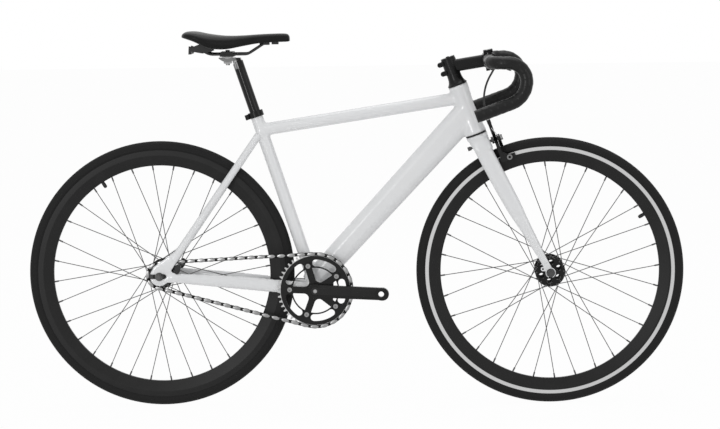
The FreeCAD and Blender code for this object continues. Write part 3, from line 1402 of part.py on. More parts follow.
bolt_nut = rod_z(5.5, cradle_top, cradle_top + 4, cradle_x, 0)
bolt_head = rod_z(5.0, bolt_low - 3.5, bolt_low + 0.6, cradle_x, 0)
cradle_bolt = fuse([washer, bolt_shank, bolt_nut, bolt_head])
save("seat_cradle", Part.makeCompound([lower_cradle, upper_cradle, cradle_bolt]))


# saddle: rails, base, padded cover and the rear rail clip, placed from the cradle and the rail height
def on_saddle(x, y, z):
    return Vec(cradle_x + x, y, rail_height + z)


def saddle_box(x0, x1, half_y, z0, z1):
    return box(cradle_x + x0, cradle_x + x1, -half_y, half_y, rail_height + z0, rail_height + z1)


rail_nose = on_saddle(96, 11, 28)
rail_points = [rail_nose, on_saddle(52, rail_spread, 0), on_saddle(-44, rail_spread, 0),
               on_saddle(-74, rail_spread + 5, 17)]
left_rail = pipe(bent_wire(rail_points, [24, 36]), rail_radius)
rails_both = [left_rail, mirrored(left_rail)]
save("saddle_rails", pair(left_rail))

# each saddle station: place along, half width, top and lower edge
saddle_stations = [(-113, 34, 49, 44), (-101, 58, 57, 40), (-78, 70, 57, 32), (-44, 66, 50.5, 16),
                   (-4, 49, 46, 12), (38, 33, 46, 19), (80, 25, 48.5, 26), (122, 22, 50, 28.5),
                   (148, 18.5, 49.5, 29), (157, 12, 41, 31)]
station_count = 30
base_thickness = 4.0
base_gap = 0.6


def under_cover(top, low):
    tall = top - low
    return low + tall * 0.45 * min(1.0, tall / 18.0)


def saddle_section(x, half, top, low):
    tall = top - low
    floor = under_cover(top, low)

    def side(sign):
        shoulder = on_saddle(x, sign * half * 0.8, top - tall * 0.15)
        flank = on_saddle(x, sign * half, low + tall * 0.45)
        hem = on_saddle(x, sign * half * 0.94, low + tall * 0.08)
        lip = on_saddle(x, sign * half * 0.8, low)
        inner = on_saddle(x, sign * half * 0.62, floor)
        return shoulder, flank, hem, lip, inner

    right = side(-1)
    left = side(1)
    curves = [Part.Arc(right[0], on_saddle(x, 0, top), left[0]), Part.Arc(left[0], left[1], left[2]),
              Part.LineSegment(left[2], left[3]), Part.LineSegment(left[3], left[4]),
              Part.LineSegment(left[4], right[4]), Part.LineSegment(right[4], right[3]),
              Part.LineSegment(right[3], right[2]), Part.Arc(right[2], right[1], right[0])]
    return Part.Wire([c.toShape() for c in curves])


def between(stations, x):
    k = max(i for i, s in enumerate(stations[:-1]) if s[0] <= x)
    before = stations[max(k - 1, 0)]
    low, high = stations[k], stations[k + 1]
    after = stations[min(k + 2, len(stations) - 1)]
    t = (x - low[0]) / (high[0] - low[0])
    values = [x]
    for a, b, c, d in list(zip(before, low, high, after))[1:]:
        rise_b = (c - a) / (high[0] - before[0]) * (high[0] - low[0])
        rise_c = (d - b) / (after[0] - low[0]) * (high[0] - low[0])
        values.append(b * (1 + 2 * t) * (1 - t) ** 2 + rise_b * t * (1 - t) ** 2
                      + c * t * t * (3 - 2 * t) - rise_c * t * t * (1 - t))
    return values


first_x = saddle_stations[0][0]
station_gap = (saddle_stations[-1][0] - first_x) / station_count
fine_stations = [between(saddle_stations, first_x + station_gap * k) for k in range(station_count)]
fine_stations.append(list(saddle_stations[-1]))
cover_loft = Part.makeLoft([saddle_section(*s) for s in fine_stations], True, True)
if cover_loft.Volume < 0:
    cover_loft.reverse()
save("saddle_cover", cover_loft)


def base_section(x, half, top, low):
    w = half * 0.5
    high = under_cover(top, low) - base_gap
    deep = high - base_thickness
    corners = [on_saddle(x, -w, high), on_saddle(x, w, high), on_saddle(x, w * 0.9, deep),
               on_saddle(x, -w * 0.9, deep)]
    return Part.makePolygon(corners + [corners[0]])


base_stations = [s for s in fine_stations if -100 < s[0] < 150]
base_loft = Part.makeLoft([base_section(*s) for s in base_stations], True, True)
front_block = saddle_box(82, 106, 14, 22, 34)
nose_bump = saddle_box(112, 129, 8, 23, 36)
base_whole = largest(cut(fuse([base_loft, front_block, nose_bump]), rails_both))
clip_in = 18.0
clip_out = 38.0
clip_outline = [(-95, 21), (-88, 18.5), (-72, 25), (-63, 27), (-62, 36), (-42, 29), (-37, 8), (-60, 3),
                (-88, 8), (-89.5, 1), (-96, 1)]
clip_side = prism([on_saddle(x, clip_in, z) for x, z in clip_outline], Vec(0, clip_out - clip_in, 0))
clip_hook = saddle_box(-95, -90, clip_in + 12, 1, 19)
clip = largest(cut(fuse([clip_side, mirrored(clip_side), clip_hook]), rails_both + [base_whole]))
save("saddle_base", Part.makeCompound([base_whole, clip]))
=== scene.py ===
import json
import math

import bmesh
import bpy
from mathutils import Matrix, Vector


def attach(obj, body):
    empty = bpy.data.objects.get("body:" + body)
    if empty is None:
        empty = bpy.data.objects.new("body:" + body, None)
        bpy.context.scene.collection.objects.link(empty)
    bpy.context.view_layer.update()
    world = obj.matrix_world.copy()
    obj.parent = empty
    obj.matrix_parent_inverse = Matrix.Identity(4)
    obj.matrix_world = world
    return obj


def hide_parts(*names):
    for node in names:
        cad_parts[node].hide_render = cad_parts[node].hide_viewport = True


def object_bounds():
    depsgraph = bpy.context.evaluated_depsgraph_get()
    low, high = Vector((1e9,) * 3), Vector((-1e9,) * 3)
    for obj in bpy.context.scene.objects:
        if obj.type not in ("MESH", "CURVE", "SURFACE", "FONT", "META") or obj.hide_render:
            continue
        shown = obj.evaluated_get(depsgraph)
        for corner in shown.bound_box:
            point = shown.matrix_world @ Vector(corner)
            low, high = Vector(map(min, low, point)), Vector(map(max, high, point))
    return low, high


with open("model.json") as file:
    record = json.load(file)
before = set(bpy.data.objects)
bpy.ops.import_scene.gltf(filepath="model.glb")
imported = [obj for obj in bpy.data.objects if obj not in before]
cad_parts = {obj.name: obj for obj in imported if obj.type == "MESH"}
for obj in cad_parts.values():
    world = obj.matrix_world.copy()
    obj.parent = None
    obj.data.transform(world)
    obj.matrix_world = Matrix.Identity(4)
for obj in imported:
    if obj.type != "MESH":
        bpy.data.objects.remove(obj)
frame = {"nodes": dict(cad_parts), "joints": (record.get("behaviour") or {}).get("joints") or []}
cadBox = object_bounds()
nodes = frame["nodes"]
joints = {joint["name"]: joint for joint in frame["joints"]}
print("frame loaded", len(nodes), "nodes")


def jointPlace(name):
    return Vector(joints[name]["pos_m"])


def jointAxis(name):
    return Vector(joints[name]["axis"]).normalized()


# places and directions that the joints give
rearAxle = jointPlace("rear_wheel_spin")
frontAxle = jointPlace("front_wheel_spin")
bracket = jointPlace("crank_spin")
headBottom = jointPlace("steering_turn")
tiltCentre = jointPlace("saddle_tilt")
forward = Vector((1, 0, 0))
sideways = Vector((0, 1, 0))
upright = Vector((0, 0, 1))
steerUp = jointAxis("steering_turn")
steerOut = sideways.cross(steerUp)
seatUp = jointAxis("seatpost_height")
seatBack = seatUp.cross(sideways)


def plug(tree, socket, value):
    # links a Value into a socket, or sets the socket to a constant
    if isinstance(value, Value):
        tree.links.new(value.socket, socket)
    else:
        socket.default_value = value


class Value:
    # a shader socket that takes part in sums
    def __init__(self, tree, socket):
        self.tree = tree
        self.socket = socket

    def math(self, operation, other=None, swap=False):
        node = self.tree.nodes.new("ShaderNodeMath")
        node.operation = operation
        operands = [self] if other is None else [self, other]
        for slot, operand in zip(node.inputs, operands[::-1] if swap else operands):
            plug(self.tree, slot, operand)
        return Value(self.tree, node.outputs[0])

    def __add__(self, other):
        return self.math("ADD", other)

    def __sub__(self, other):
        return self.math("SUBTRACT", other)

    def __rsub__(self, other):
        return self.math("SUBTRACT", other, True)

    def __mul__(self, other):
        return self.math("MULTIPLY", other)

    def size(self):
        return self.math("ABSOLUTE")

    def root(self):
        return self.math("SQRT")


class Finish:
    # one material and the nodes that feed its surface shader
    def __init__(self, name, **fixed):
        self.material = bpy.data.materials.new(name)
        self.material.use_nodes = True
        self.tree = self.material.node_tree
        self.surface = self.tree.nodes["Principled BSDF"]
        self.feed(**fixed)

    def add(self, kind, settings=None, output=0, **sockets):
        node = self.tree.nodes.new("ShaderNode" + kind)
        for key, value in (settings or {}).items():
            setattr(node, key, value)
        for key, value in sockets.items():
            plug(self.tree, node.inputs[self.socketName(key)], value)
        return Value(self.tree, node.outputs[output])

    @staticmethod
    def socketName(key):
        # input6 stands for the socket of that number, and Base_Color for one of that name
        return int(key[-1]) if key.startswith("input") else key.replace("_", " ")

    def feed(self, **sockets):
        for key, value in sockets.items():
            plug(self.tree, self.surface.inputs[self.socketName(key)], value)

    def place(self):
        return self.add("TexCoord", output="Object")

    def axes(self):
        split = self.add("SeparateXYZ", Vector=self.place()).socket.node
        return [Value(self.tree, output) for output in split.outputs]

    def radius(self, axle):
        # distance from a wheel's axle line
        x, _, z = self.axes()
        across, upward = x - axle.x, z - axle.z
        return (across * across + upward * upward).root()

    def noise(self, scale, detail, roughness=0.5):
        return self.add("TexNoise", Vector=self.place(), Scale=scale, Detail=detail, Roughness=roughness)

    def mix(self, mask, first, second):
        return self.add("Mix", {"data_type": "RGBA"}, output=2, input0=mask, input6=first, input7=second)

    def gloss(self, cloud, look):
        return cloud * look["spread"] + look["rough"]

    def bump(self, height, strength, depth):
        self.feed(Normal=self.add("Bump", Height=height, Strength=strength, Distance=depth))

    def grain(self, scale, detail, strength, depth):
        self.bump(self.noise(scale, detail), strength, depth)

    def step(self, value, low, high):
        # mask that goes from 0 at low to 1 at high
        return self.add("MapRange", Value=value, From_Min=low, From_Max=high)

    def band(self, value, low, high, soft):
        # mask that is 1 from low to high
        return self.step(value, low - soft, low + soft) * (1 - self.step(value, high - soft, high + soft))

    def beyond(self, start, direction, soft=0.0003):
        # mask that is 1 on the far side of a plane
        x, y, z = self.axes()
        reach = x * direction.x + y * direction.y + z * direction.z - start.dot(direction)
        return self.step(reach, -soft, soft)


def grey(level):
    return (level, level, level, 1)


def greys(dark, light):
    return grey(dark), grey(light)


# In each look, the cloud is a noise (scale, detail, roughness) that the tone and gloss wander with. Roughness
# runs from rough to rough plus spread. The grain is a noise (scale, detail) and its bump (strength, depth).
paintLook = {
    "tones": ((0.80, 0.81, 0.825, 1), (0.84, 0.845, 0.85, 1)), "cloud": (9.0, 4.0, 0.6),
    "rough": 0.20, "spread": 0.08, "grain": (700.0, 1.0, 0.01, 0.0004),
}
alloyLook = {
    "tones": greys(0.003, 0.007), "cloud": (60.0, 4.0, 0.6),
    "rough": 0.21, "spread": 0.12, "grain": (4200.0, 2.0, 0.05, 0.0002),
}
forgedLook = {
    "tones": greys(0.003, 0.007), "cloud": (45.0, 4.0, 0.6),
    "rough": 0.21, "spread": 0.12, "grain": (2600.0, 2.0, 0.04, 0.0002),
}
steelLook = {
    "darkShare": 0.86, "cloud": (90.0, 4.0, 0.6), "spread": 0.12, "grain": (900.0, 3.0, 0.05, 0.0002),
}
mouldedLook = {
    "darkShare": 0.7, "cloud": (70.0, 4.0, 0.6), "spread": 0.16, "grain": (1800.0, 2.0, 0.1, 0.0002),
}


def plain(name, look, **fixed):
    finish = Finish(name, **fixed)
    cloud = finish.noise(*look["cloud"])
    finish.feed(Base_Color=finish.mix(cloud, *look["tones"]), Roughness=finish.gloss(cloud, look))
    finish.grain(*look["grain"])
    return finish.material


def toned(look, tone, rough):
    # a look in shades of one grey, with rough as the middle of its roughness
    return {**look, "tones": greys(tone * look["darkShare"], tone), "rough": rough - look["spread"] / 2}


def steel(name, tone, rough):
    return plain(name, toned(steelLook, tone, rough), Metallic=1.0)


def moulded(name, tone, rough):
    return plain(name, toned(mouldedLook, tone, rough), Specular_IOR_Level=0.3)


# solids in two finishes that meet at a plane
splitLook = {"darkShare": 0.8, "cloud": (55.0, 4.0), "spread": 0.08, "grain": (2800.0, 2.0, 0.05, 0.0002)}
blackEnd = {"tone": 0.006, "metal": 0.0, "rough": 0.28}
glossEnd = {"tone": 0.004, "metal": 0.0, "rough": 0.10}
satinEnd = {"tone": 0.26, "metal": 0.9, "rough": 0.30}
headEnd = {"tone": 0.15, "metal": 0.9, "rough": 0.32}
brightEnd = {"tone": 0.36, "metal": 1.0, "rough": 0.26}


def twoPart(name, near, far, start, direction, limit=None):
    # the far finish lies beyond the plane, and beyond the limit's plane too where there is one
    look = splitLook
    finish = Finish(name, Specular_IOR_Level=0.25)
    mask = finish.beyond(start, direction)
    if limit:
        mask = mask * finish.beyond(*limit)
    cloud = finish.noise(*look["cloud"])
    tones = [finish.mix(cloud, *greys(end["tone"] * look["darkShare"], end["tone"])) for end in (near, far)]
    metal = mask * (far["metal"] - near["metal"]) + near["metal"]
    rough = mask * (far["rough"] - near["rough"]) + near["rough"]
    finish.feed(Base_Color=finish.mix(mask, *tones), Metallic=metal, Roughness=rough + cloud * look["spread"])
    finish.grain(*look["grain"])
    return finish.material


chainForm = {
    "line": 0.0435, "pitch": 0.0127, "ringTeeth": 46, "cogTeeth": 16, "ringWrap": 25, "cogWrap": 7,
    "innerGap": 0.0017, "outerGap": 0.00285, "plate": 0.00105, "crown": 0.0003, "edge": 0.0009,
    "halfLong": 0.0104, "halfTall": 0.0046, "innerTall": 0.0040, "rollerRadius": 0.0039, "pinRadius": 0.0018,
    "plateSegments": 14, "pinSegments": 10,
}
# the inside grey is painted shade, the near black of the gaps and recesses between links; the other greys are
# the plates' steel
chainLook = {
    "crownShare": 0.4, "soft": 0.0001, "inside": grey(0.02), "outside": greys(0.22, 0.36),
    "cloud": (220.0, 3.0), "rough": 0.22, "spread": 0.14, "grain": (900.0, 3.0, 0.05, 0.0002),
}


def chainLinks(look, form):
    # bright crowns on the outer plates; all the rest, the plate borders, inner plates, rollers and pins, is
    # painted near black as painted shade
    finish = Finish("chainSteel", Metallic=1.0)
    _, y, _ = finish.axes()
    # painted shade covers everything nearer the chain line than a little way up the outer plates' crowns
    shadeEndsAt = form["outerGap"] + form["plate"] + form["crown"] * look["crownShare"]
    outside = finish.step((y + form["line"]).size(), shadeEndsAt - look["soft"], shadeEndsAt)
    cloud = finish.noise(*look["cloud"])
    plates = finish.mix(cloud, *look["outside"])
    finish.feed(Base_Color=finish.mix(outside, look["inside"], plates), Roughness=finish.gloss(cloud, look))
    finish.grain(*look["grain"])
    return finish.material


ringLook = {
    "teeth": (0.0880, 0.0886), "black": greys(0.003, 0.008), "bare": greys(0.38, 0.52),
    "cloud": (60.0, 4.0), "rough": 0.26, "spread": 0.12, "grain": (2600.0, 2.0, 0.04, 0.0002),
}


def ringBlack(look):
    # black ring whose teeth are bare alloy
    finish = Finish("chainringAlloy", Specular_IOR_Level=0.22)
    bare = finish.step(finish.radius(bracket), *look["teeth"])
    cloud = finish.noise(*look["cloud"])
    tones = [finish.mix(cloud, *look[key]) for key in ("black", "bare")]
    finish.feed(Base_Color=finish.mix(bare, *tones), Metallic=bare, Roughness=finish.gloss(cloud, look))
    finish.grain(*look["grain"])
    return finish.material


boltLook = {
    "socketEdge": (0.0045, 0.0050), "headEdge": (0.030, 0.031),
    "socket": grey(0.34), "head": grey(0.03), "ring": greys(0.20, 0.32),
    "cloud": (90.0, 3.0), "rough": 0.26, "spread": 0.12, "grain": (900.0, 3.0, 0.05, 0.0002),
}


def boltSteel(look):
    # dark crank bolts with a brighter socket, and mid grey ring bolts
    finish = Finish("crankBoltSteel", Metallic=1.0)
    reach = finish.radius(bracket)
    socket = 1 - finish.step(reach, *look["socketEdge"])
    ring = finish.step(reach, *look["headEdge"])
    cloud = finish.noise(*look["cloud"])
    tone = finish.mix(ring, look["head"], finish.mix(cloud, *look["ring"]))
    finish.feed(Base_Color=finish.mix(socket, tone, look["socket"]), Roughness=finish.gloss(cloud, look))
    finish.grain(*look["grain"])
    return finish.material


# the socket grey is painted shade, the near black of the screw's hex recess
padLook = {
    "ahead": 0.0593, "up": -0.083, "screwFrom": 0.030, "socketEdge": (0.0032, 0.0036),
    "socket": grey(0.012), "screw": greys(0.15, 0.24), "rubber": greys(0.012, 0.018),
    "metal": 0.9, "screwGloss": 0.34,
    "cloud": (90.0, 4.0), "rough": 0.62, "spread": 0.1, "grain": (2400.0, 2.0, 0.08, 0.0002),
}


def padRubber(name, side, look):
    # rubber block whose grey screw has its socket painted near black, as painted shade in the recess
    finish = Finish(name, Specular_IOR_Level=0.25)
    axis = headBottom + steerOut * look["ahead"] + steerUp * look["up"]
    screw = finish.beyond(sideways * side * look["screwFrom"], sideways * side)
    # painted shade: a near-black disc where the screw's socket recess lies
    socket = 1 - finish.step(finish.radius(axis), *look["socketEdge"])
    cloud = finish.noise(*look["cloud"])
    metal = finish.mix(socket, finish.mix(cloud, *look["screw"]), look["socket"])
    rubber = finish.mix(cloud, *look["rubber"])
    finish.feed(Base_Color=finish.mix(screw, rubber, metal), Metallic=screw * look["metal"],
                Roughness=finish.gloss(cloud, look) - screw * look["screwGloss"])
    finish.grain(*look["grain"])
    return finish.material


rimLook = {"tones": greys(0.011, 0.019), "cloud": (24.0, 4.0), "rough": 0.34, "spread": 0.1}
trackLook = {
    "inner": 0.3071, "outer": 0.3160, "soft": 0.0004, "tones": greys(0.42, 0.66), "metal": 0.9,
    "ringScale": 5200.0, "ringDetail": 2.0, "rough": 0.26, "spread": 0.2,
}


def rimBlack(name, axle, look, track=None):
    # black rim, with a bare track turned for the brake where there is one
    finish = Finish(name, Specular_IOR_Level=0.16)
    cloud = finish.noise(*look["cloud"])
    tone, gloss = finish.mix(cloud, *look["tones"]), finish.gloss(cloud, look)
    if track:
        reach = finish.radius(axle)
        rings = finish.add("TexNoise", {"noise_dimensions": "1D"}, W=reach * track["ringScale"], Scale=1.0,
                           Detail=track["ringDetail"])
        bare = finish.band(reach, track["inner"], track["outer"], track["soft"])
        tone = finish.mix(bare, tone, finish.mix(rings, *track["tones"]))
        gloss = bare * finish.gloss(rings, track) + (1 - bare) * gloss
        finish.feed(Metallic=bare * track["metal"])
    finish.feed(Base_Color=tone, Roughness=gloss)
    return finish.material


tyreLook = {
    "tones": greys(0.007, 0.013), "dust": grey(0.022), "dustShare": 0.5, "dustBand": (0.3375, 0.345, 0.001),
    "cloud": (130.0, 5.0, 0.65), "rough": 0.62, "spread": 0.2, "grain": (2400.0, 3.0, 0.25, 0.0003),
}


def tyreRubber(name, axle, look):
    # black rubber with a little dust on the tread
    finish = Finish(name, Specular_IOR_Level=0.2)
    cloud = finish.noise(*look["cloud"])
    dust = finish.band(finish.radius(axle), *look["dustBand"])
    tone = finish.mix(cloud, *look["tones"])
    finish.feed(Base_Color=finish.mix(dust * look["dustShare"], tone, look["dust"]),
                Roughness=finish.gloss(cloud, look))
    finish.grain(*look["grain"])
    return finish.material


leatherLook = {
    "cells": "DISTANCE_TO_EDGE", "cellScale": 620.0, "relief": (0.28, 0.0004),
    "tones": greys(0.004, 0.009), "cloud": (35.0, 4.0), "rough": 0.32, "spread": 0.14,
}
tapeLook = {
    "cells": "F1", "cellScale": 900.0, "relief": (0.08, 0.0003),
    "tones": greys(0.004, 0.010), "cloud": (90.0, 5.0), "rough": 0.24, "spread": 0.12,
}


def celled(name, look, **fixed):
    # black stuff with a relief of small cells
    finish = Finish(name, **fixed)
    cells = finish.add("TexVoronoi", {"feature": look["cells"]}, Vector=finish.place(),
                       Scale=look["cellScale"])
    cloud = finish.noise(*look["cloud"])
    finish.feed(Base_Color=finish.mix(cloud, *look["tones"]), Roughness=finish.gloss(cloud, look))
    finish.bump(cells, *look["relief"])
    return finish.material


seatSplit = {"railHeight": -0.0165, "headDrop": -0.053, "headBack": 0.001}
caliperSplit = {"adjuster": 0.0236, "anchor": 0.0547, "anchorLow": -0.045}
paint = plain("whitePaint", paintLook, Coat_Weight=0.35, Coat_Roughness=0.06)
blackAlloy = plain("blackAnodised", alloyLook, Specular_IOR_Level=0.2)
crankBlack = plain("blackForged", forgedLook, Specular_IOR_Level=0.22)
spokeSteel = steel("spokeSteel", tone=0.10, rough=0.52)
plated = steel("platedSteel", tone=0.58, rough=0.32)
nutSteel = steel("nutSteel", tone=0.085, rough=0.36)
cogSteel = steel("cogSteel", tone=0.05, rough=0.34)
railSteel = steel("railSteel", tone=0.045, rough=0.36)
plastic = moulded("blackPlastic", tone=0.014, rough=0.45)
housingBlack = moulded("housingBlack", tone=0.012, rough=0.35)
chainSteel = chainLinks(chainLook, chainForm)
ringAlloy = ringBlack(ringLook)
crankBolts = boltSteel(boltLook)
cradleFinish = twoPart("cradleAlloy", satinEnd, blackEnd,
                       tiltCentre + upright * seatSplit["railHeight"], upright)
postFinish = twoPart("seatpostAlloy", glossEnd, headEnd,
                     tiltCentre + seatUp * seatSplit["headDrop"], seatUp,
                     (bracket + seatBack * seatSplit["headBack"], seatBack))
armRightFinish = twoPart("caliperRightAlloy", blackEnd, brightEnd,
                         headBottom + steerUp * caliperSplit["adjuster"], steerUp)
armLeftFinish = twoPart("caliperLeftAlloy", blackEnd, brightEnd,
                        headBottom + steerOut * caliperSplit["anchor"], steerOut,
                        (headBottom + steerUp * caliperSplit["anchorLow"], steerUp))
padRightFinish = padRubber("padRight", -1, padLook)
padLeftFinish = padRubber("padLeft", 1, padLook)
rearRimBlack = rimBlack("rearRimBlack", rearAxle, rimLook)
frontRimBlack = rimBlack("frontRimBlack", frontAxle, rimLook, trackLook)
rearRubber = tyreRubber("rearTyreRubber", rearAxle, tyreLook)
frontRubber = tyreRubber("frontTyreRubber", frontAxle, tyreLook)
saddleLeather = celled("saddleLeather", leatherLook, Specular_IOR_Level=0.14)
tapeBlack = celled("barTapeFoam", tapeLook, Specular_IOR_Level=0.22)
print("finishes made", len(bpy.data.materials))

finishNodes = [
    (paint, ("rear_dropouts", "fork_tips", "head_tube", "top_tube", "down_tube", "seat_tube", "chainstays",
             "seatstays", "bottom_bracket_shell", "fork_crown", "fork_blades")),
    (blackAlloy, ("headset_cover", "stem_body", "stem_faceplate", "stem_cap", "stem_bolts", "handlebar",
                  "seat_clamp", "brake_lever_body", "brake_lever_blade", "rear_hub_shell", "front_hub_shell",
                  "bottom_bracket_cartridge")),
    (plastic, ("headset_bearings", "saddle_base", "bar_end_plugs", "dropout_plugs", "rear_inner_tube",
               "front_inner_tube")),
    (nutSteel, ("rear_axle_set", "front_axle_set", "rear_hub_bearings", "front_hub_bearings", "caliper_bolt")),
    (crankBlack, ("crank_arm_right", "crank_arm_left")),
    (spokeSteel, ("rear_spokes", "front_spokes")),
    (plated, ("bottom_bracket_spindle", "brake_wire")),
    (cogSteel, ("rear_cog", "rear_lockring")),
    (ringAlloy, ("chainring",)),
    (crankBolts, ("crank_fasteners",)),
    (chainSteel, ("chain",)),
    (rearRimBlack, ("rear_rim",)),
    (frontRimBlack, ("front_rim",)),
    (rearRubber, ("rear_tyre",)),
    (frontRubber, ("front_tyre",)),
    (armRightFinish, ("caliper_arm_right",)),
    (armLeftFinish, ("caliper_arm_left",)),
    (padRightFinish, ("brake_pad_right",)),
    (padLeftFinish, ("brake_pad_left",)),
    (housingBlack, ("brake_housing",)),
    (tapeBlack, ("bar_tape",)),
    (postFinish, ("seatpost",)),
    (cradleFinish, ("seat_cradle",)),
    (railSteel, ("saddle_rails",)),
    (saddleLeather, ("saddle_cover",)),
]
for finish, names in finishNodes:
    for name in names:
        mesh = nodes[name].data
        mesh.materials.clear()
        mesh.materials.append(finish)
        for polygon in mesh.polygons:
            polygon.material_index = 0
print("nodes dressed", sum(len(names) for _, names in finishNodes))

# ways to make and finish a mesh
weldDistance = 0.00001
smoothing = {"factor": 0.5, "hollow": -0.015}
bevelForm = {"segments": 2, "flatWeight": 60}
boreSegments = 72


def asMesh(name, bm):
    mesh = bpy.data.meshes.new(name)
    bm.to_mesh(mesh)
    bm.free()
    return mesh


def linked(name, data):
    made = bpy.data.objects.new(name, data)
    bpy.context.scene.collection.objects.link(made)
    return made


def modify(piece, kind, **settings):
    modifier = piece.modifiers.new(kind.title(), kind)
    for key, value in settings.items():
        setattr(modifier, key, value)


def breakEdges(piece, width, sharpFrom):
    # bevels the edges that bend more than an angle in degrees
    modify(piece, "BEVEL", width=width, segments=bevelForm["segments"], limit_method="ANGLE",
           angle_limit=math.radians(sharpFrom))
    modify(piece, "WEIGHTED_NORMAL", weight=bevelForm["flatWeight"])


def placed(place, across, upward, along):
    # matrix that carries the three axes onto these ones at a place
    return Matrix.Translation(place) @ Matrix((across, upward, along)).transposed().to_4x4()


def edgesOf(verts):
    return list(dict.fromkeys(edge for vert in verts for edge in vert.link_edges))


def makeRing(bm, centre, along, upward, halfTall, halfWide, segments=28):
    side = upward.cross(along).normalized()
    tall = along.cross(side).normalized()
    circle = bmesh.ops.create_circle(bm, segments=segments, radius=1.0)["verts"]
    bmesh.ops.transform(bm, matrix=placed(centre, side * halfWide, tall * halfTall, along), verts=circle)
    return edgesOf(circle)


def bridgeRings(bm, rings):
    for first, second in zip(rings[:-1], rings[1:]):
        bmesh.ops.bridge_loops(bm, edges=first + second)
    for end in (rings[0], rings[-1]):
        bmesh.ops.edgeloop_fill(bm, edges=end)


def eased(rows, steps):
    # rows of numbers with more rows between them, on cubics through them
    line = []
    for k in range(len(rows) - 1):
        near = [rows[min(max(k + d, 0), len(rows) - 1)] for d in (-1, 0, 1, 2)]
        for step in range(steps):
            t = step / steps
            line.append([b + 0.5 * t * (c - a + t * (2 * a - 5 * b + 4 * c - d + t * (3 * (b - c) + d - a)))
                         for a, b, c, d in zip(*near)])
    return line + [list(rows[-1])]


def makeLoft(bm, stations, upward, segments=28):
    # stations are (place, half height, half width)
    rings = []
    for k, (place, tall, wide) in enumerate(stations):
        along = stations[min(k + 1, len(stations) - 1)][0] - stations[max(k - 1, 0)][0]
        rings.append(makeRing(bm, place, along.normalized(), upward, tall, wide, segments))
    bridgeRings(bm, rings)


def makeRod(bm, start, end, radius, segments=32):
    run = end - start
    turn = run.to_track_quat("Z", "Y").to_matrix().to_4x4()
    bmesh.ops.create_cone(bm, cap_ends=True, segments=segments, radius1=radius, radius2=radius,
                          depth=run.length, matrix=Matrix.Translation((start + end) / 2) @ turn)


def addNodeCopy(bm, name):
    bm.from_mesh(nodes[name].data)
    bmesh.ops.remove_doubles(bm, verts=bm.verts, dist=weldDistance)


def fillHoles(bm):
    bmesh.ops.holes_fill(bm, edges=[edge for edge in bm.edges if edge.is_boundary])


def applied(bm, *stack):
    # the bmesh that a stack of modifiers makes of another one
    mesh = asMesh("holder", bm)
    holder = linked("holder", mesh)
    for kind, settings in stack:
        modify(holder, kind, **settings)
    graph = bpy.context.evaluated_depsgraph_get()
    result = bpy.data.meshes.new_from_object(holder.evaluated_get(graph), depsgraph=graph)
    made = bmesh.new()
    made.from_mesh(result)
    bpy.data.objects.remove(holder)
    bpy.data.meshes.remove(mesh)
    bpy.data.meshes.remove(result)
    return made


def soften(bm, rounds, hollowsOnly=False):
    for _ in range(rounds):
        verts = bm.verts
        if hollowsOnly:
            bent = [edge for edge in bm.edges if edge.calc_face_angle_signed(0.0) < smoothing["hollow"]]
            verts = list(dict.fromkeys(vert for edge in bent for vert in edge.verts))
        bmesh.ops.smooth_vert(bm, verts=verts, factor=smoothing["factor"], use_axis_x=True, use_axis_y=True,
                              use_axis_z=True)


def weldSkin(bm, form):
    # joins overlapping tubes into one skin and fills the hollows where they meet, as a sanded weld does
    bmesh.ops.recalc_face_normals(bm, faces=bm.faces)
    skin = applied(bm, ("REMESH", {"mode": "VOXEL", "voxel_size": form["voxel"]}))
    soften(skin, form["evenRounds"])
    soften(skin, form["weldRounds"], hollowsOnly=True)
    soften(skin, 1)
    return skin


def bored(bm, rods):
    # cuts round bores through a closed skin
    cutters = []
    for start, end, radius in rods:
        tool = bmesh.new()
        makeRod(tool, start, end, radius, boreSegments)
        cutters.append(linked("bore", asMesh("bore", tool)))
    cuts = [("BOOLEAN", {"operation": "DIFFERENCE", "solver": "MANIFOLD", "object": c}) for c in cutters]
    made = applied(bm, *cuts)
    for cutter in cutters:
        bpy.data.objects.remove(cutter)
    return made


def newPiece(name, bm, body, slot, finish, *replaced):
    for face in bm.faces:
        face.smooth = True
        face.material_index = 0
    mesh = asMesh(name, bm)
    mesh.materials.append(finish)
    piece = linked(name, mesh)
    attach(piece, body)
    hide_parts(*replaced)
    print(name, len(mesh.polygons), "faces")
    return piece


# The frame's welded tubes as one skin. Chainstay rows are (x, y, z, half height, half width), from the bracket
# or the rear axle. Bores are (from, to, radius).
frameForm = {
    "voxel": 0.0022, "evenRounds": 3, "weldRounds": 16,
    "headProfile": [(0.0, 0.028), (0.0079, 0.028), (0.0288, 0.0254), (0.059, 0.0229), (0.0812, 0.0226),
                    (0.110, 0.0244), (0.1231, 0.025), (0.131, 0.025)],
    "headSteps": 4, "roundSegments": 48,
    "tubeRadius": 0.0160, "seatLength": 0.475, "topAtSeat": 0.427, "topAtHead": 0.097,
    "downAtHead": 0.057, "downRise": 0.0168, "downTall": (0.0575, 0.0695), "downWide": 0.0445,
    "downBevel": 0.0165, "downFlat": 0.46, "downFillet": 0.006, "downFilletSegments": 4,
    "shellRadius": 0.0212, "shellHalf": 0.034,
    "chainstayFront": [(-0.014, 0.024, 0.003, 0.0150, 0.0090), (-0.088, 0.0285, 0.009, 0.0167, 0.0082)],
    "chainstayRear": [(0.194, 0.037, -0.020, 0.0167, 0.0087), (0.094, 0.052, -0.010, 0.0142, 0.0077),
                      (0.031, 0.0635, -0.0032, 0.0117, 0.0049)],
    "chainstaySteps": 6,
    "stayTop": (-0.009, 0.014), "stayAtSeat": 0.416, "stayFoot": (0.0356, 0.063, 0.040),
    "stayTall": (0.0097, 0.0104), "stayWide": (0.0092, 0.0077), "staySegments": 24,
    "bores": {"seat": (0.03, 0.6, 0.01375), "head": (-0.02, 0.16, 0.02095), "shell": (-0.08, 0.08, 0.01745)},
}


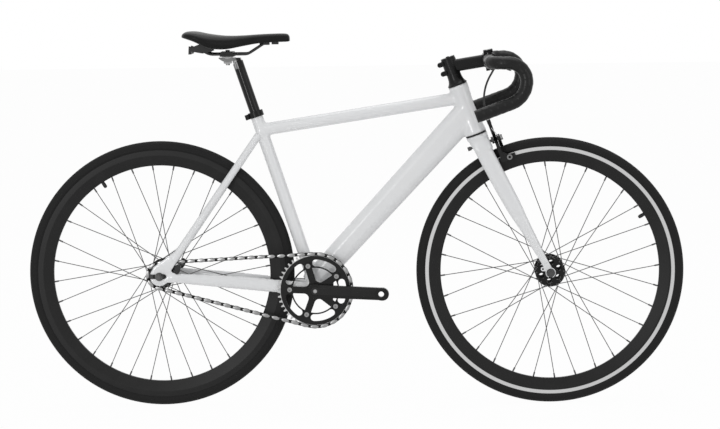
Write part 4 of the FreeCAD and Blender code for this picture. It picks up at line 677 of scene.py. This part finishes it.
def makeDownTube(bm, form):
    top = headBottom + steerUp * form["downAtHead"]
    lift = (top - bracket).normalized().cross(sideways)
    low = bracket + lift * form["downRise"]
    along = (top - low).normalized()
    upward = along.cross(sideways)
    rings = []
    for place, tall in zip((low, top), form["downTall"]):
        halfTall, halfWide = tall / 2, form["downWide"] / 2
        flatTall, flatWide = halfTall - form["downBevel"], halfWide * form["downFlat"]
        outline = [(halfWide, flatTall), (flatWide, halfTall), (-flatWide, halfTall), (-halfWide, flatTall)]
        outline += [(w, -h) for w, h in outline[::-1]]
        ring = [bm.verts.new(place + sideways * w + upward * h) for w, h in outline]
        rings.append([bm.edges.new((a, b)) for a, b in zip(ring, ring[1:] + ring[:1])])
    before = set(bm.edges)
    bmesh.ops.bridge_loops(bm, edges=rings[0] + rings[1])
    longEdges = [edge for edge in bm.edges if edge not in before]
    for end in rings:
        bmesh.ops.edgeloop_fill(bm, edges=end)
    bmesh.ops.bevel(bm, geom=longEdges, offset=form["downFillet"], offset_type="OFFSET",
                    segments=form["downFilletSegments"], profile=0.5, affect="EDGES", material=-1)


def makeStays(bm, side, form):
    rows = []
    for origin, part in ((bracket, "chainstayFront"), (rearAxle, "chainstayRear")):
        rows += [(*(origin + Vector((x, y * side, z))), tall, wide) for x, y, z, tall, wide in form[part]]
    lower = [(Vector(row[:3]), row[3], row[4]) for row in eased(rows, form["chainstaySteps"])]
    makeLoft(bm, lower, upright)
    back, out = form["stayTop"]
    ahead, foot, high = form["stayFoot"]
    ends = (bracket + seatUp * form["stayAtSeat"] + Vector((back, out * side, 0)),
            rearAxle + Vector((ahead, foot * side, high)))
    makeLoft(bm, list(zip(ends, form["stayTall"], form["stayWide"])), upright, form["staySegments"])


def makeFrameSkin(form):
    bm = bmesh.new()
    head = [(headBottom + steerUp * h, r, r) for h, r in eased(form["headProfile"], form["headSteps"])]
    makeLoft(bm, head, sideways, form["roundSegments"])
    topAtSeat = bracket + seatUp * form["topAtSeat"]
    makeRod(bm, bracket, bracket + seatUp * form["seatLength"], form["tubeRadius"])
    makeRod(bm, topAtSeat, headBottom + steerUp * form["topAtHead"], form["tubeRadius"])
    half = sideways * form["shellHalf"]
    makeRod(bm, bracket - half, bracket + half, form["shellRadius"], form["roundSegments"])
    makeDownTube(bm, form)
    for side in (-1, 1):
        makeStays(bm, side, form)
    addNodeCopy(bm, "rear_dropouts")
    skin = weldSkin(bm, form)
    rods = []
    for name, origin, along in (("seat", bracket, seatUp), ("head", headBottom, steerUp),
                                ("shell", bracket, sideways)):
        low, high, radius = form["bores"][name]
        rods.append((origin + along * low, origin + along * high, radius))
    newPiece("frameSkin", bored(skin, rods), "frame", "frame_paint", paint, "head_tube", "top_tube",
             "down_tube", "seat_tube", "bottom_bracket_shell", "chainstays", "seatstays", "rear_dropouts")


makeFrameSkin(frameForm)

# The fork's crown, blades and steerer as one skin. Blade rows are (share of the way to the axle, share of the
# spread, height, width, set back).
forkForm = {
    "voxel": 0.0018, "evenRounds": 3, "weldRounds": 14, "crownCut": 0.0036,
    "bladeTop": (-0.157, 0.293), "bladeSide": (0.0305, 0.053), "bladeSteps": 6,
    "blade": [(-0.1, 0, 0.044, 0.021, 0.0), (0.19, 0.16, 0.0428, 0.020, 0.0018),
              (0.44, 0.42, 0.0388, 0.018, 0.0019), (0.6, 0.62, 0.0300, 0.016, 0.0014),
              (0.74, 0.8, 0.0240, 0.014, 0.0008), (0.925, 1.0, 0.0182, 0.0085, 0.0)],
    "steererRadius": 0.0142, "steererFrom": -0.008, "steererTop": 0.197,
}


def makeForkSkin(form):
    bm = bmesh.new()
    addNodeCopy(bm, "fork_crown")
    cut = headBottom - steerUp * form["crownCut"]
    bmesh.ops.bisect_plane(bm, geom=bm.verts[:] + bm.edges[:] + bm.faces[:], plane_co=cut, plane_no=steerUp,
                           clear_outer=True)
    fillHoles(bm)
    ahead, high = form["bladeTop"]
    top = frontAxle + Vector((ahead, 0, high))
    inner, outer = form["bladeSide"]
    for side in (-1, 1):
        stations = []
        for share, spread, tall, wide, back in eased(form["blade"], form["bladeSteps"]):
            out = side * (inner + (outer - inner) * spread)
            place = top.lerp(frontAxle, share) + sideways * out - steerOut * back
            stations.append((place, tall / 2, wide / 2))
        makeLoft(bm, stations, steerOut)
    skin = weldSkin(bm, form)
    makeRod(skin, headBottom + steerUp * form["steererFrom"], headBottom + steerUp * form["steererTop"],
            form["steererRadius"])
    newPiece("forkSkin", skin, "steering", "frame_paint", paint, "fork_crown", "fork_blades")


makeForkSkin(forkForm)

# Tyres and rims, spun about their axles. Grooves and the rib are in degrees round the tyre's section.
# The rim's half outline is in (side, radius).
wheelForm = {
    "sectionRadius": 0.325, "sectionHalf": 0.0139, "sectionSegments": 72, "steps": 192,
    "treadGrooves": (20, 40), "grooveDepth": 0.0005, "sideRib": 105, "ribRise": 0.0004, "markReach": 2.5,
    "rim": [(0.0097, 0.311), (0.0097, 0.317), (0.0115, 0.317), (0.0115, 0.303), (0.0045, 0.277)],
    "rimBevel": 0.0007, "rimSharp": 9.0,
}


def spinAbout(bm, axle, form):
    geom = bm.verts[:] + bm.edges[:]
    bmesh.ops.spin(bm, geom=geom, cent=(0, 0, 0), axis=sideways, dvec=(0, 0, 0), angle=math.tau,
                   steps=form["steps"], use_merge=True, use_duplicate=False)
    bmesh.ops.recalc_face_normals(bm, faces=bm.faces)
    bmesh.ops.translate(bm, verts=bm.verts, vec=axle)


def makeTyre(end, axle, finish, form):
    bm = bmesh.new()
    half = form["sectionHalf"]
    ring = bmesh.ops.create_circle(bm, segments=form["sectionSegments"], radius=half)["verts"]
    for vert in ring:
        turn = abs(math.degrees(math.atan2(vert.co.y, vert.co.x)))
        if any(abs(turn - spot) < form["markReach"] for spot in form["treadGrooves"]):
            vert.co *= 1 - form["grooveDepth"] / half
        if abs(turn - form["sideRib"]) < form["markReach"]:
            vert.co *= 1 + form["ribRise"] / half
    bmesh.ops.translate(bm, verts=ring, vec=(form["sectionRadius"], 0, 0))
    spinAbout(bm, axle, form)
    newPiece(end + "Tyre", bm, end + "_wheel", "tyre", finish, end + "_tyre")


def makeRim(end, axle, finish, form):
    bm = bmesh.new()
    outline = form["rim"] + [(-y, r) for y, r in form["rim"][::-1]]
    ring = [bm.verts.new((r, y, 0)) for y, r in outline]
    for first, second in zip(ring, ring[1:] + ring[:1]):
        bm.edges.new((first, second))
    spinAbout(bm, axle, form)
    rim = newPiece(end + "Rim", bm, end + "_wheel", end + "_rim", finish, end + "_rim")
    breakEdges(rim, form["rimBevel"], form["rimSharp"])


makeTyre("rear", rearAxle, rearRubber, wheelForm)
makeTyre("front", frontAxle, frontRubber, wheelForm)
makeRim("rear", rearAxle, rearRimBlack, wheelForm)
makeRim("front", frontAxle, frontRimBlack, wheelForm)

# Inner tubes, whose capped valves show inside the rims. Valve rows are (distance from the axle, radius).
tubeForm = {
    "half": 0.0105, "segments": 20, "rearValve": 122.0, "frontValve": 30.5,
    "valve": [(0.300, 0.0030), (0.2772, 0.0030), (0.2770, 0.0044), (0.2738, 0.0044), (0.2736, 0.0042),
              (0.2732, 0.0048), (0.2660, 0.0047), (0.2634, 0.0042), (0.2616, 0.0030), (0.2610, 0.0012)],
}


def makeTube(end, axle, form):
    bm = bmesh.new()
    ring = bmesh.ops.create_circle(bm, segments=form["segments"], radius=form["half"])["verts"]
    bmesh.ops.translate(bm, verts=ring, vec=(wheelForm["sectionRadius"], 0, 0))
    spinAbout(bm, axle, wheelForm)
    turn = math.radians(form[end + "Valve"])
    outward = Vector((math.cos(turn), 0, math.sin(turn)))
    stations = [(axle + outward * reach, half, half) for reach, half in form["valve"]]
    makeLoft(bm, stations, sideways, form["segments"])
    bmesh.ops.recalc_face_normals(bm, faces=bm.faces)
    newPiece(end + "Tube", bm, end + "_wheel", "inner_tube", plastic, end + "_inner_tube")


makeTube("rear", rearAxle, tubeForm)
makeTube("front", frontAxle, tubeForm)

# bar tape wound round the bar, from beside the clamp to the bar's ends
tapeForm = {
    "stemLength": 0.097, "stemSlope": -11.0, "stemMiddle": 0.1815, "start": 0.084, "halfWidth": 0.202,
    "corner": 0.043, "cornerTurn": 90.0, "hook": 0.045, "hookTurn": 90.0, "drop": 0.058, "dropTurn": 70.0,
    "tail": 0.088, "radius": 0.0161, "wrapRise": 0.0006, "wrapPitch": 0.0185, "lap": 0.88,
    "segments": 30, "step": 0.0013,
}
stemSlope = math.radians(tapeForm["stemSlope"])
barCentre = (headBottom + steerOut * (tapeForm["stemLength"] * math.cos(stemSlope))
             + steerUp * (tapeForm["stemMiddle"] + tapeForm["stemLength"] * math.sin(stemSlope)))


def wrapHeight(turns, form):
    # each turn of tape rises over the last one and ends in a step
    part = turns % 1.0
    if part < form["lap"]:
        return part / form["lap"]
    return 1 - (part - form["lap"]) / (1 - form["lap"])


def sweepStraight(bm, ring, run, form):
    steps = max(2, round(run.length / form["step"]))
    return bmesh.ops.spin(bm, geom=ring, cent=(0, 0, 0), axis=sideways, dvec=run / steps, angle=0.0,
                          steps=steps, use_duplicate=False)["geom_last"]


def sweepBend(bm, ring, centre, axis, part, form):
    turn = math.radians(form[part + "Turn"])
    steps = max(2, round(form[part] * turn / form["step"]))
    return bmesh.ops.spin(bm, geom=ring, cent=centre, axis=axis, dvec=(0, 0, 0), angle=turn, steps=steps,
                          use_duplicate=False)["geom_last"]


def sweepBar(bm, side, form):
    # carries a ring from beside the clamp round the corner, the hook and the drop to the bar's end
    outward = sideways * side
    start = barCentre + outward * form["start"]
    makeRing(bm, start, outward, upright, form["radius"], form["radius"], form["segments"])
    ring = bm.verts[:] + bm.edges[:]
    cornerIn = barCentre + outward * (form["halfWidth"] - form["corner"])
    ring = sweepStraight(bm, ring, cornerIn - start, form)
    ring = sweepBend(bm, ring, cornerIn + forward * form["corner"], upright * -side, "corner", form)
    cornerOut = barCentre + outward * form["halfWidth"] + forward * form["corner"]
    hookCentre = cornerOut - upright * form["hook"]
    ring = sweepBend(bm, ring, hookCentre, sideways, "hook", form)
    dropCentre = hookCentre + forward * (form["hook"] - form["drop"])
    ring = sweepBend(bm, ring, dropCentre, sideways, "drop", form)
    dropTurn = math.radians(form["dropTurn"])
    tail = Vector((-math.sin(dropTurn), 0, -math.cos(dropTurn)))
    sweepStraight(bm, ring, tail * form["tail"], form)


def windTurns(bm, side, form):
    # lowers each ring's points to the height of the turn of tape there
    count = form["segments"]
    bm.verts.ensure_lookup_table()
    for first in range(0, len(bm.verts), count):
        loop = bm.verts[first:first + count]
        middle = sum((vert.co for vert in loop), Vector()) / count
        for k, vert in enumerate(loop):
            turns = first / count * form["step"] / form["wrapPitch"] + side * k / count
            drop = form["wrapRise"] * (1 - wrapHeight(turns, form))
            vert.co += (middle - vert.co).normalized() * drop


def makeTape(form):
    whole = bmesh.new()
    for side in (-1, 1):
        bm = bmesh.new()
        sweepBar(bm, side, form)
        windTurns(bm, side, form)
        fillHoles(bm)
        bmesh.ops.recalc_face_normals(bm, faces=bm.faces)
        mesh = asMesh("tapeSide", bm)
        whole.from_mesh(mesh)
        bpy.data.meshes.remove(mesh)
    newPiece("barTape", whole, "steering", "bar_tape", tapeBlack, "bar_tape")


makeTape(tapeForm)


# chain, a link on each pair of pins
def chainPins(form):
    # round the ring, along the upper run, round the cog and back
    along = (bracket - rearAxle).normalized()
    down = sideways.cross(along)
    wraps = []
    for centre, outward, lower, wheel in ((bracket, along, down, "ring"), (rearAxle, -along, -down, "cog")):
        teeth, links = form[wheel + "Teeth"], form[wheel + "Wrap"]
        radius = form["pitch"] / 2 / math.sin(math.pi / teeth)
        turns = [math.pi / teeth * (links - 2 * k) for k in range(links + 1)]
        wraps.append([centre + (outward * math.cos(turn) + lower * math.sin(turn)) * radius for turn in turns])
    pins = []
    for here, there in zip(wraps, wraps[::-1]):
        run = there[0] - here[-1]
        count = round(run.length / form["pitch"])
        pins += here + [here[-1] + run * (k / count) for k in range(1, count)]
    return [pin - sideways * form["line"] for pin in pins]


def makeChainPlate(bm, middle, along, side, gap, tall, form):
    # gives the plate's outer face
    outward = sideways * side
    axes = (along * form["halfLong"], along.cross(sideways) * tall, sideways * form["plate"])
    matrix = placed(middle + outward * (gap + form["plate"] / 2), *axes)
    verts = bmesh.ops.create_cone(bm, cap_ends=True, segments=form["plateSegments"], radius1=1.0, radius2=1.0,
                                  depth=1.0, matrix=matrix)["verts"]
    faces = list(dict.fromkeys(face for vert in verts for face in vert.link_faces))
    bmesh.ops.recalc_face_normals(bm, faces=faces)
    return [face for face in faces if len(face.verts) > 4 and face.normal.dot(outward) > 0]


def makeChain(form):
    bm = bmesh.new()
    pins = chainPins(form)
    crowned = []
    for k, pin in enumerate(pins):
        step = pins[(k + 1) % len(pins)] - pin
        inside = k % 2 == 0
        gap = form["innerGap"] if inside else form["outerGap"]
        tall = form["innerTall"] if inside else form["halfTall"]
        for side in (-1, 1):
            caps = makeChainPlate(bm, pin + step / 2, step.normalized(), side, gap, tall, form)
            crowned += [] if inside else caps
        for radius, half in ((form["rollerRadius"], form["innerGap"]), (form["pinRadius"], form["outerGap"])):
            makeRod(bm, pin - sideways * half, pin + sideways * half, radius, form["pinSegments"])
    bmesh.ops.inset_individual(bm, faces=crowned, thickness=form["edge"], depth=form["crown"])
    newPiece("chainLinks", bm, "frame", "chain_steel", chainSteel, "chain")


makeChain(chainForm)

# Saddle pad, a loft of sections from tail to nose. Stations are (place, half width, top, bottom), and the half
# outline is in shares of the width and height there.
saddleForm = {
    "railDrop": 0.010, "grow": 1.02, "steps": 4,
    "stations": [(-0.113, 0.034, 0.049, 0.044), (-0.110, 0.047, 0.0535, 0.0425),
                 (-0.101, 0.060, 0.0575, 0.040), (-0.078, 0.071, 0.0575, 0.032),
                 (-0.044, 0.067, 0.0510, 0.016), (-0.004, 0.050, 0.0463, 0.012),
                 (0.038, 0.0335, 0.0463, 0.019), (0.080, 0.0255, 0.0487, 0.026),
                 (0.122, 0.0222, 0.0502, 0.0285), (0.148, 0.0188, 0.0497, 0.029),
                 (0.155, 0.0150, 0.0460, 0.0297), (0.1575, 0.010, 0.0405, 0.031)],
    "outline": [(0, 1.0), (0.3, 0.99), (0.58, 0.955), (0.78, 0.88), (0.875, 0.80), (0.885, 0.765),
                (0.93, 0.735), (0.99, 0.56), (1.0, 0.38), (0.97, 0.17), (0.90, 0.03), (0.80, 0.0)],
    "floor": [(0.66, 0.72), (0.45, 1.0), (0.0, 1.0)], "floorShare": 0.45, "floorTall": 0.018,
}


def makeSaddle(form):
    bm = bmesh.new()
    origin = tiltCentre - upright * form["railDrop"]
    rings = []
    for x, half, top, low in eased(form["stations"], form["steps"]):
        tall = top - low
        floor = form["floorShare"] * min(1.0, tall / form["floorTall"])
        outline = form["outline"] + [(w, floor * h) for w, h in form["floor"]]
        outline += [(-w, h) for w, h in outline[-2:0:-1]]
        circle = bmesh.ops.create_circle(bm, segments=len(outline), radius=1.0)["verts"]
        for vert, (w, h) in zip(circle, outline):
            vert.co = origin + Vector((x, w * half * form["grow"], low + h * tall))
        rings.append(edgesOf(circle))
    bridgeRings(bm, rings)
    bmesh.ops.recalc_face_normals(bm, faces=bm.faces)
    pad = newPiece("saddlePad", bm, "saddle", "saddle_cover", saddleLeather, "saddle_cover")
    modify(pad, "SUBSURF", levels=1, render_levels=1)


makeSaddle(saddleForm)

# machined and forged nodes keep their solid, with broken edges
edgeForm = {
    "forgedWidth": 0.0009, "turnedWidth": 0.0004, "flatTo": 1.0, "sharpFrom": 32.0,
    "forged": ("crank_arm_right", "crank_arm_left", "stem_body", "stem_faceplate", "brake_lever_blade",
               "caliper_arm_right", "caliper_arm_left", "seatpost", "fork_tips", "brake_lever_body"),
    "turned": ("chainring", "headset_cover", "stem_cap", "seat_clamp", "rear_hub_shell", "front_hub_shell",
               "seat_cradle", "rear_lockring", "rear_axle_set", "front_axle_set", "saddle_base",
               "bar_end_plugs", "dropout_plugs", "brake_pad_right", "brake_pad_left",
               "bottom_bracket_cartridge"),
}
flatTo = math.radians(edgeForm["flatTo"])
for kind in ("forged", "turned"):
    for name in edgeForm[kind]:
        modify(nodes[name], "WELD", merge_threshold=weldDistance)
        modify(nodes[name], "DECIMATE", decimate_type="DISSOLVE", angle_limit=flatTo)
        breakEdges(nodes[name], edgeForm[kind + "Width"], edgeForm["sharpFrom"])
print("edges broken")

# camera at the photograph's viewpoint
viewpoint = {
    "place": (0.1990, -6.0557, 1.1251), "yaw": -0.030631, "pitch": -0.105179, "roll": -0.012786,
    "focalPixels": 2396.2, "widthPixels": 720, "sensor": 36.0, "farthest": 50,
}


def makeCamera(view):
    yaw, pitch, roll = view["yaw"], view["pitch"], view["roll"]
    ahead = Vector((math.sin(yaw) * math.cos(pitch), math.cos(yaw) * math.cos(pitch), math.sin(pitch)))
    levelRight = Vector((math.cos(yaw), -math.sin(yaw), 0))
    levelUp = levelRight.cross(ahead)
    right = levelRight * math.cos(roll) + levelUp * math.sin(roll)
    up = levelUp * math.cos(roll) - levelRight * math.sin(roll)
    data = bpy.data.cameras.new("camera")
    data.sensor_width = view["sensor"]
    data.lens = view["focalPixels"] / view["widthPixels"] * view["sensor"]
    data.clip_end = view["farthest"]
    camera = linked("camera", data)
    camera.matrix_world = placed(view["place"], right, up, -ahead)
    bpy.context.scene.camera = camera


# white studio that lights the part less than it shows
stageForm = {"half": 20, "gap": 0.0005, "tone": 0.9, "rough": 0.8, "glowShare": 0.97}
worldForm = {"seen": 1.0, "lighting": 0.42}
lights = {
    "keyLight": {"place": (-1.6, -3.2, 3.0), "aim": (0, 0, 0.5), "size": (2.2, 1.6), "power": 10},
    "sideLight": {"place": (-1.9, -4.1, 0.75), "aim": (0, 0, 0.65), "size": (0.8, 1.4), "power": 38},
    "topLight": {"place": (0.3, 0.2, 3.6), "aim": (0, 0, 0.4), "size": (3.2, 2.0), "power": 34},
    "fillLight": {"place": (2.6, -2.4, 1.2), "aim": (0.1, 0, 0.5), "size": (1.6, 1.6), "power": 10},
}


def makeLight(name, form):
    data = bpy.data.lights.new(name, "AREA")
    data.shape = "RECTANGLE"
    data.size, data.size_y = form["size"]
    data.energy = form["power"]
    lamp = linked(name, data)
    lamp.location = form["place"]
    lamp.rotation_euler = (Vector(form["aim"]) - Vector(form["place"])).to_track_quat("-Z", "Y").to_euler()


def seenPlainly(tree):
    # 1 for rays that show the background, straight or in a reflection
    path = tree.nodes.new("ShaderNodeLightPath")
    rays = [Value(tree, path.outputs["Is " + kind + " Ray"]) for kind in ("Camera", "Glossy", "Transmission")]
    return (rays[0] + rays[1] + rays[2]).math("MINIMUM", 1.0)


def makeStage(form):
    bm = bmesh.new()
    bmesh.ops.create_grid(bm, x_segments=1, y_segments=1, size=form["half"])
    mesh = asMesh("floor", bm)
    floor = linked("floor", mesh)
    floor.location.z = cadBox[0].z - form["gap"]
    finish = Finish("paleFloor", Base_Color=grey(form["tone"]), Roughness=form["rough"])
    seen = seenPlainly(finish.tree)
    glow = finish.add("Emission", Color=grey(1.0), Strength=1.0)
    surface = Value(finish.tree, finish.surface.outputs[0])
    blend = finish.add("MixShader", Fac=seen * form["glowShare"], input1=surface, input2=glow)
    finish.tree.links.new(blend.socket, finish.tree.nodes["Material Output"].inputs["Surface"])
    mesh.materials.append(finish.material)


def makeWorld(form):
    world = bpy.data.worlds.new("studio")
    bpy.context.scene.world = world
    world.use_nodes = True
    tree = world.node_tree
    background = tree.nodes["Background"]
    background.inputs["Color"].default_value = grey(1.0)
    strength = seenPlainly(tree) * (form["seen"] - form["lighting"]) + form["lighting"]
    plug(tree, background.inputs["Strength"], strength)


makeCamera(viewpoint)
makeWorld(worldForm)
makeStage(stageForm)
for name, form in lights.items():
    makeLight(name, form)
bpy.context.scene.view_settings.view_transform = "Standard"
print("camera, stage and lights made")
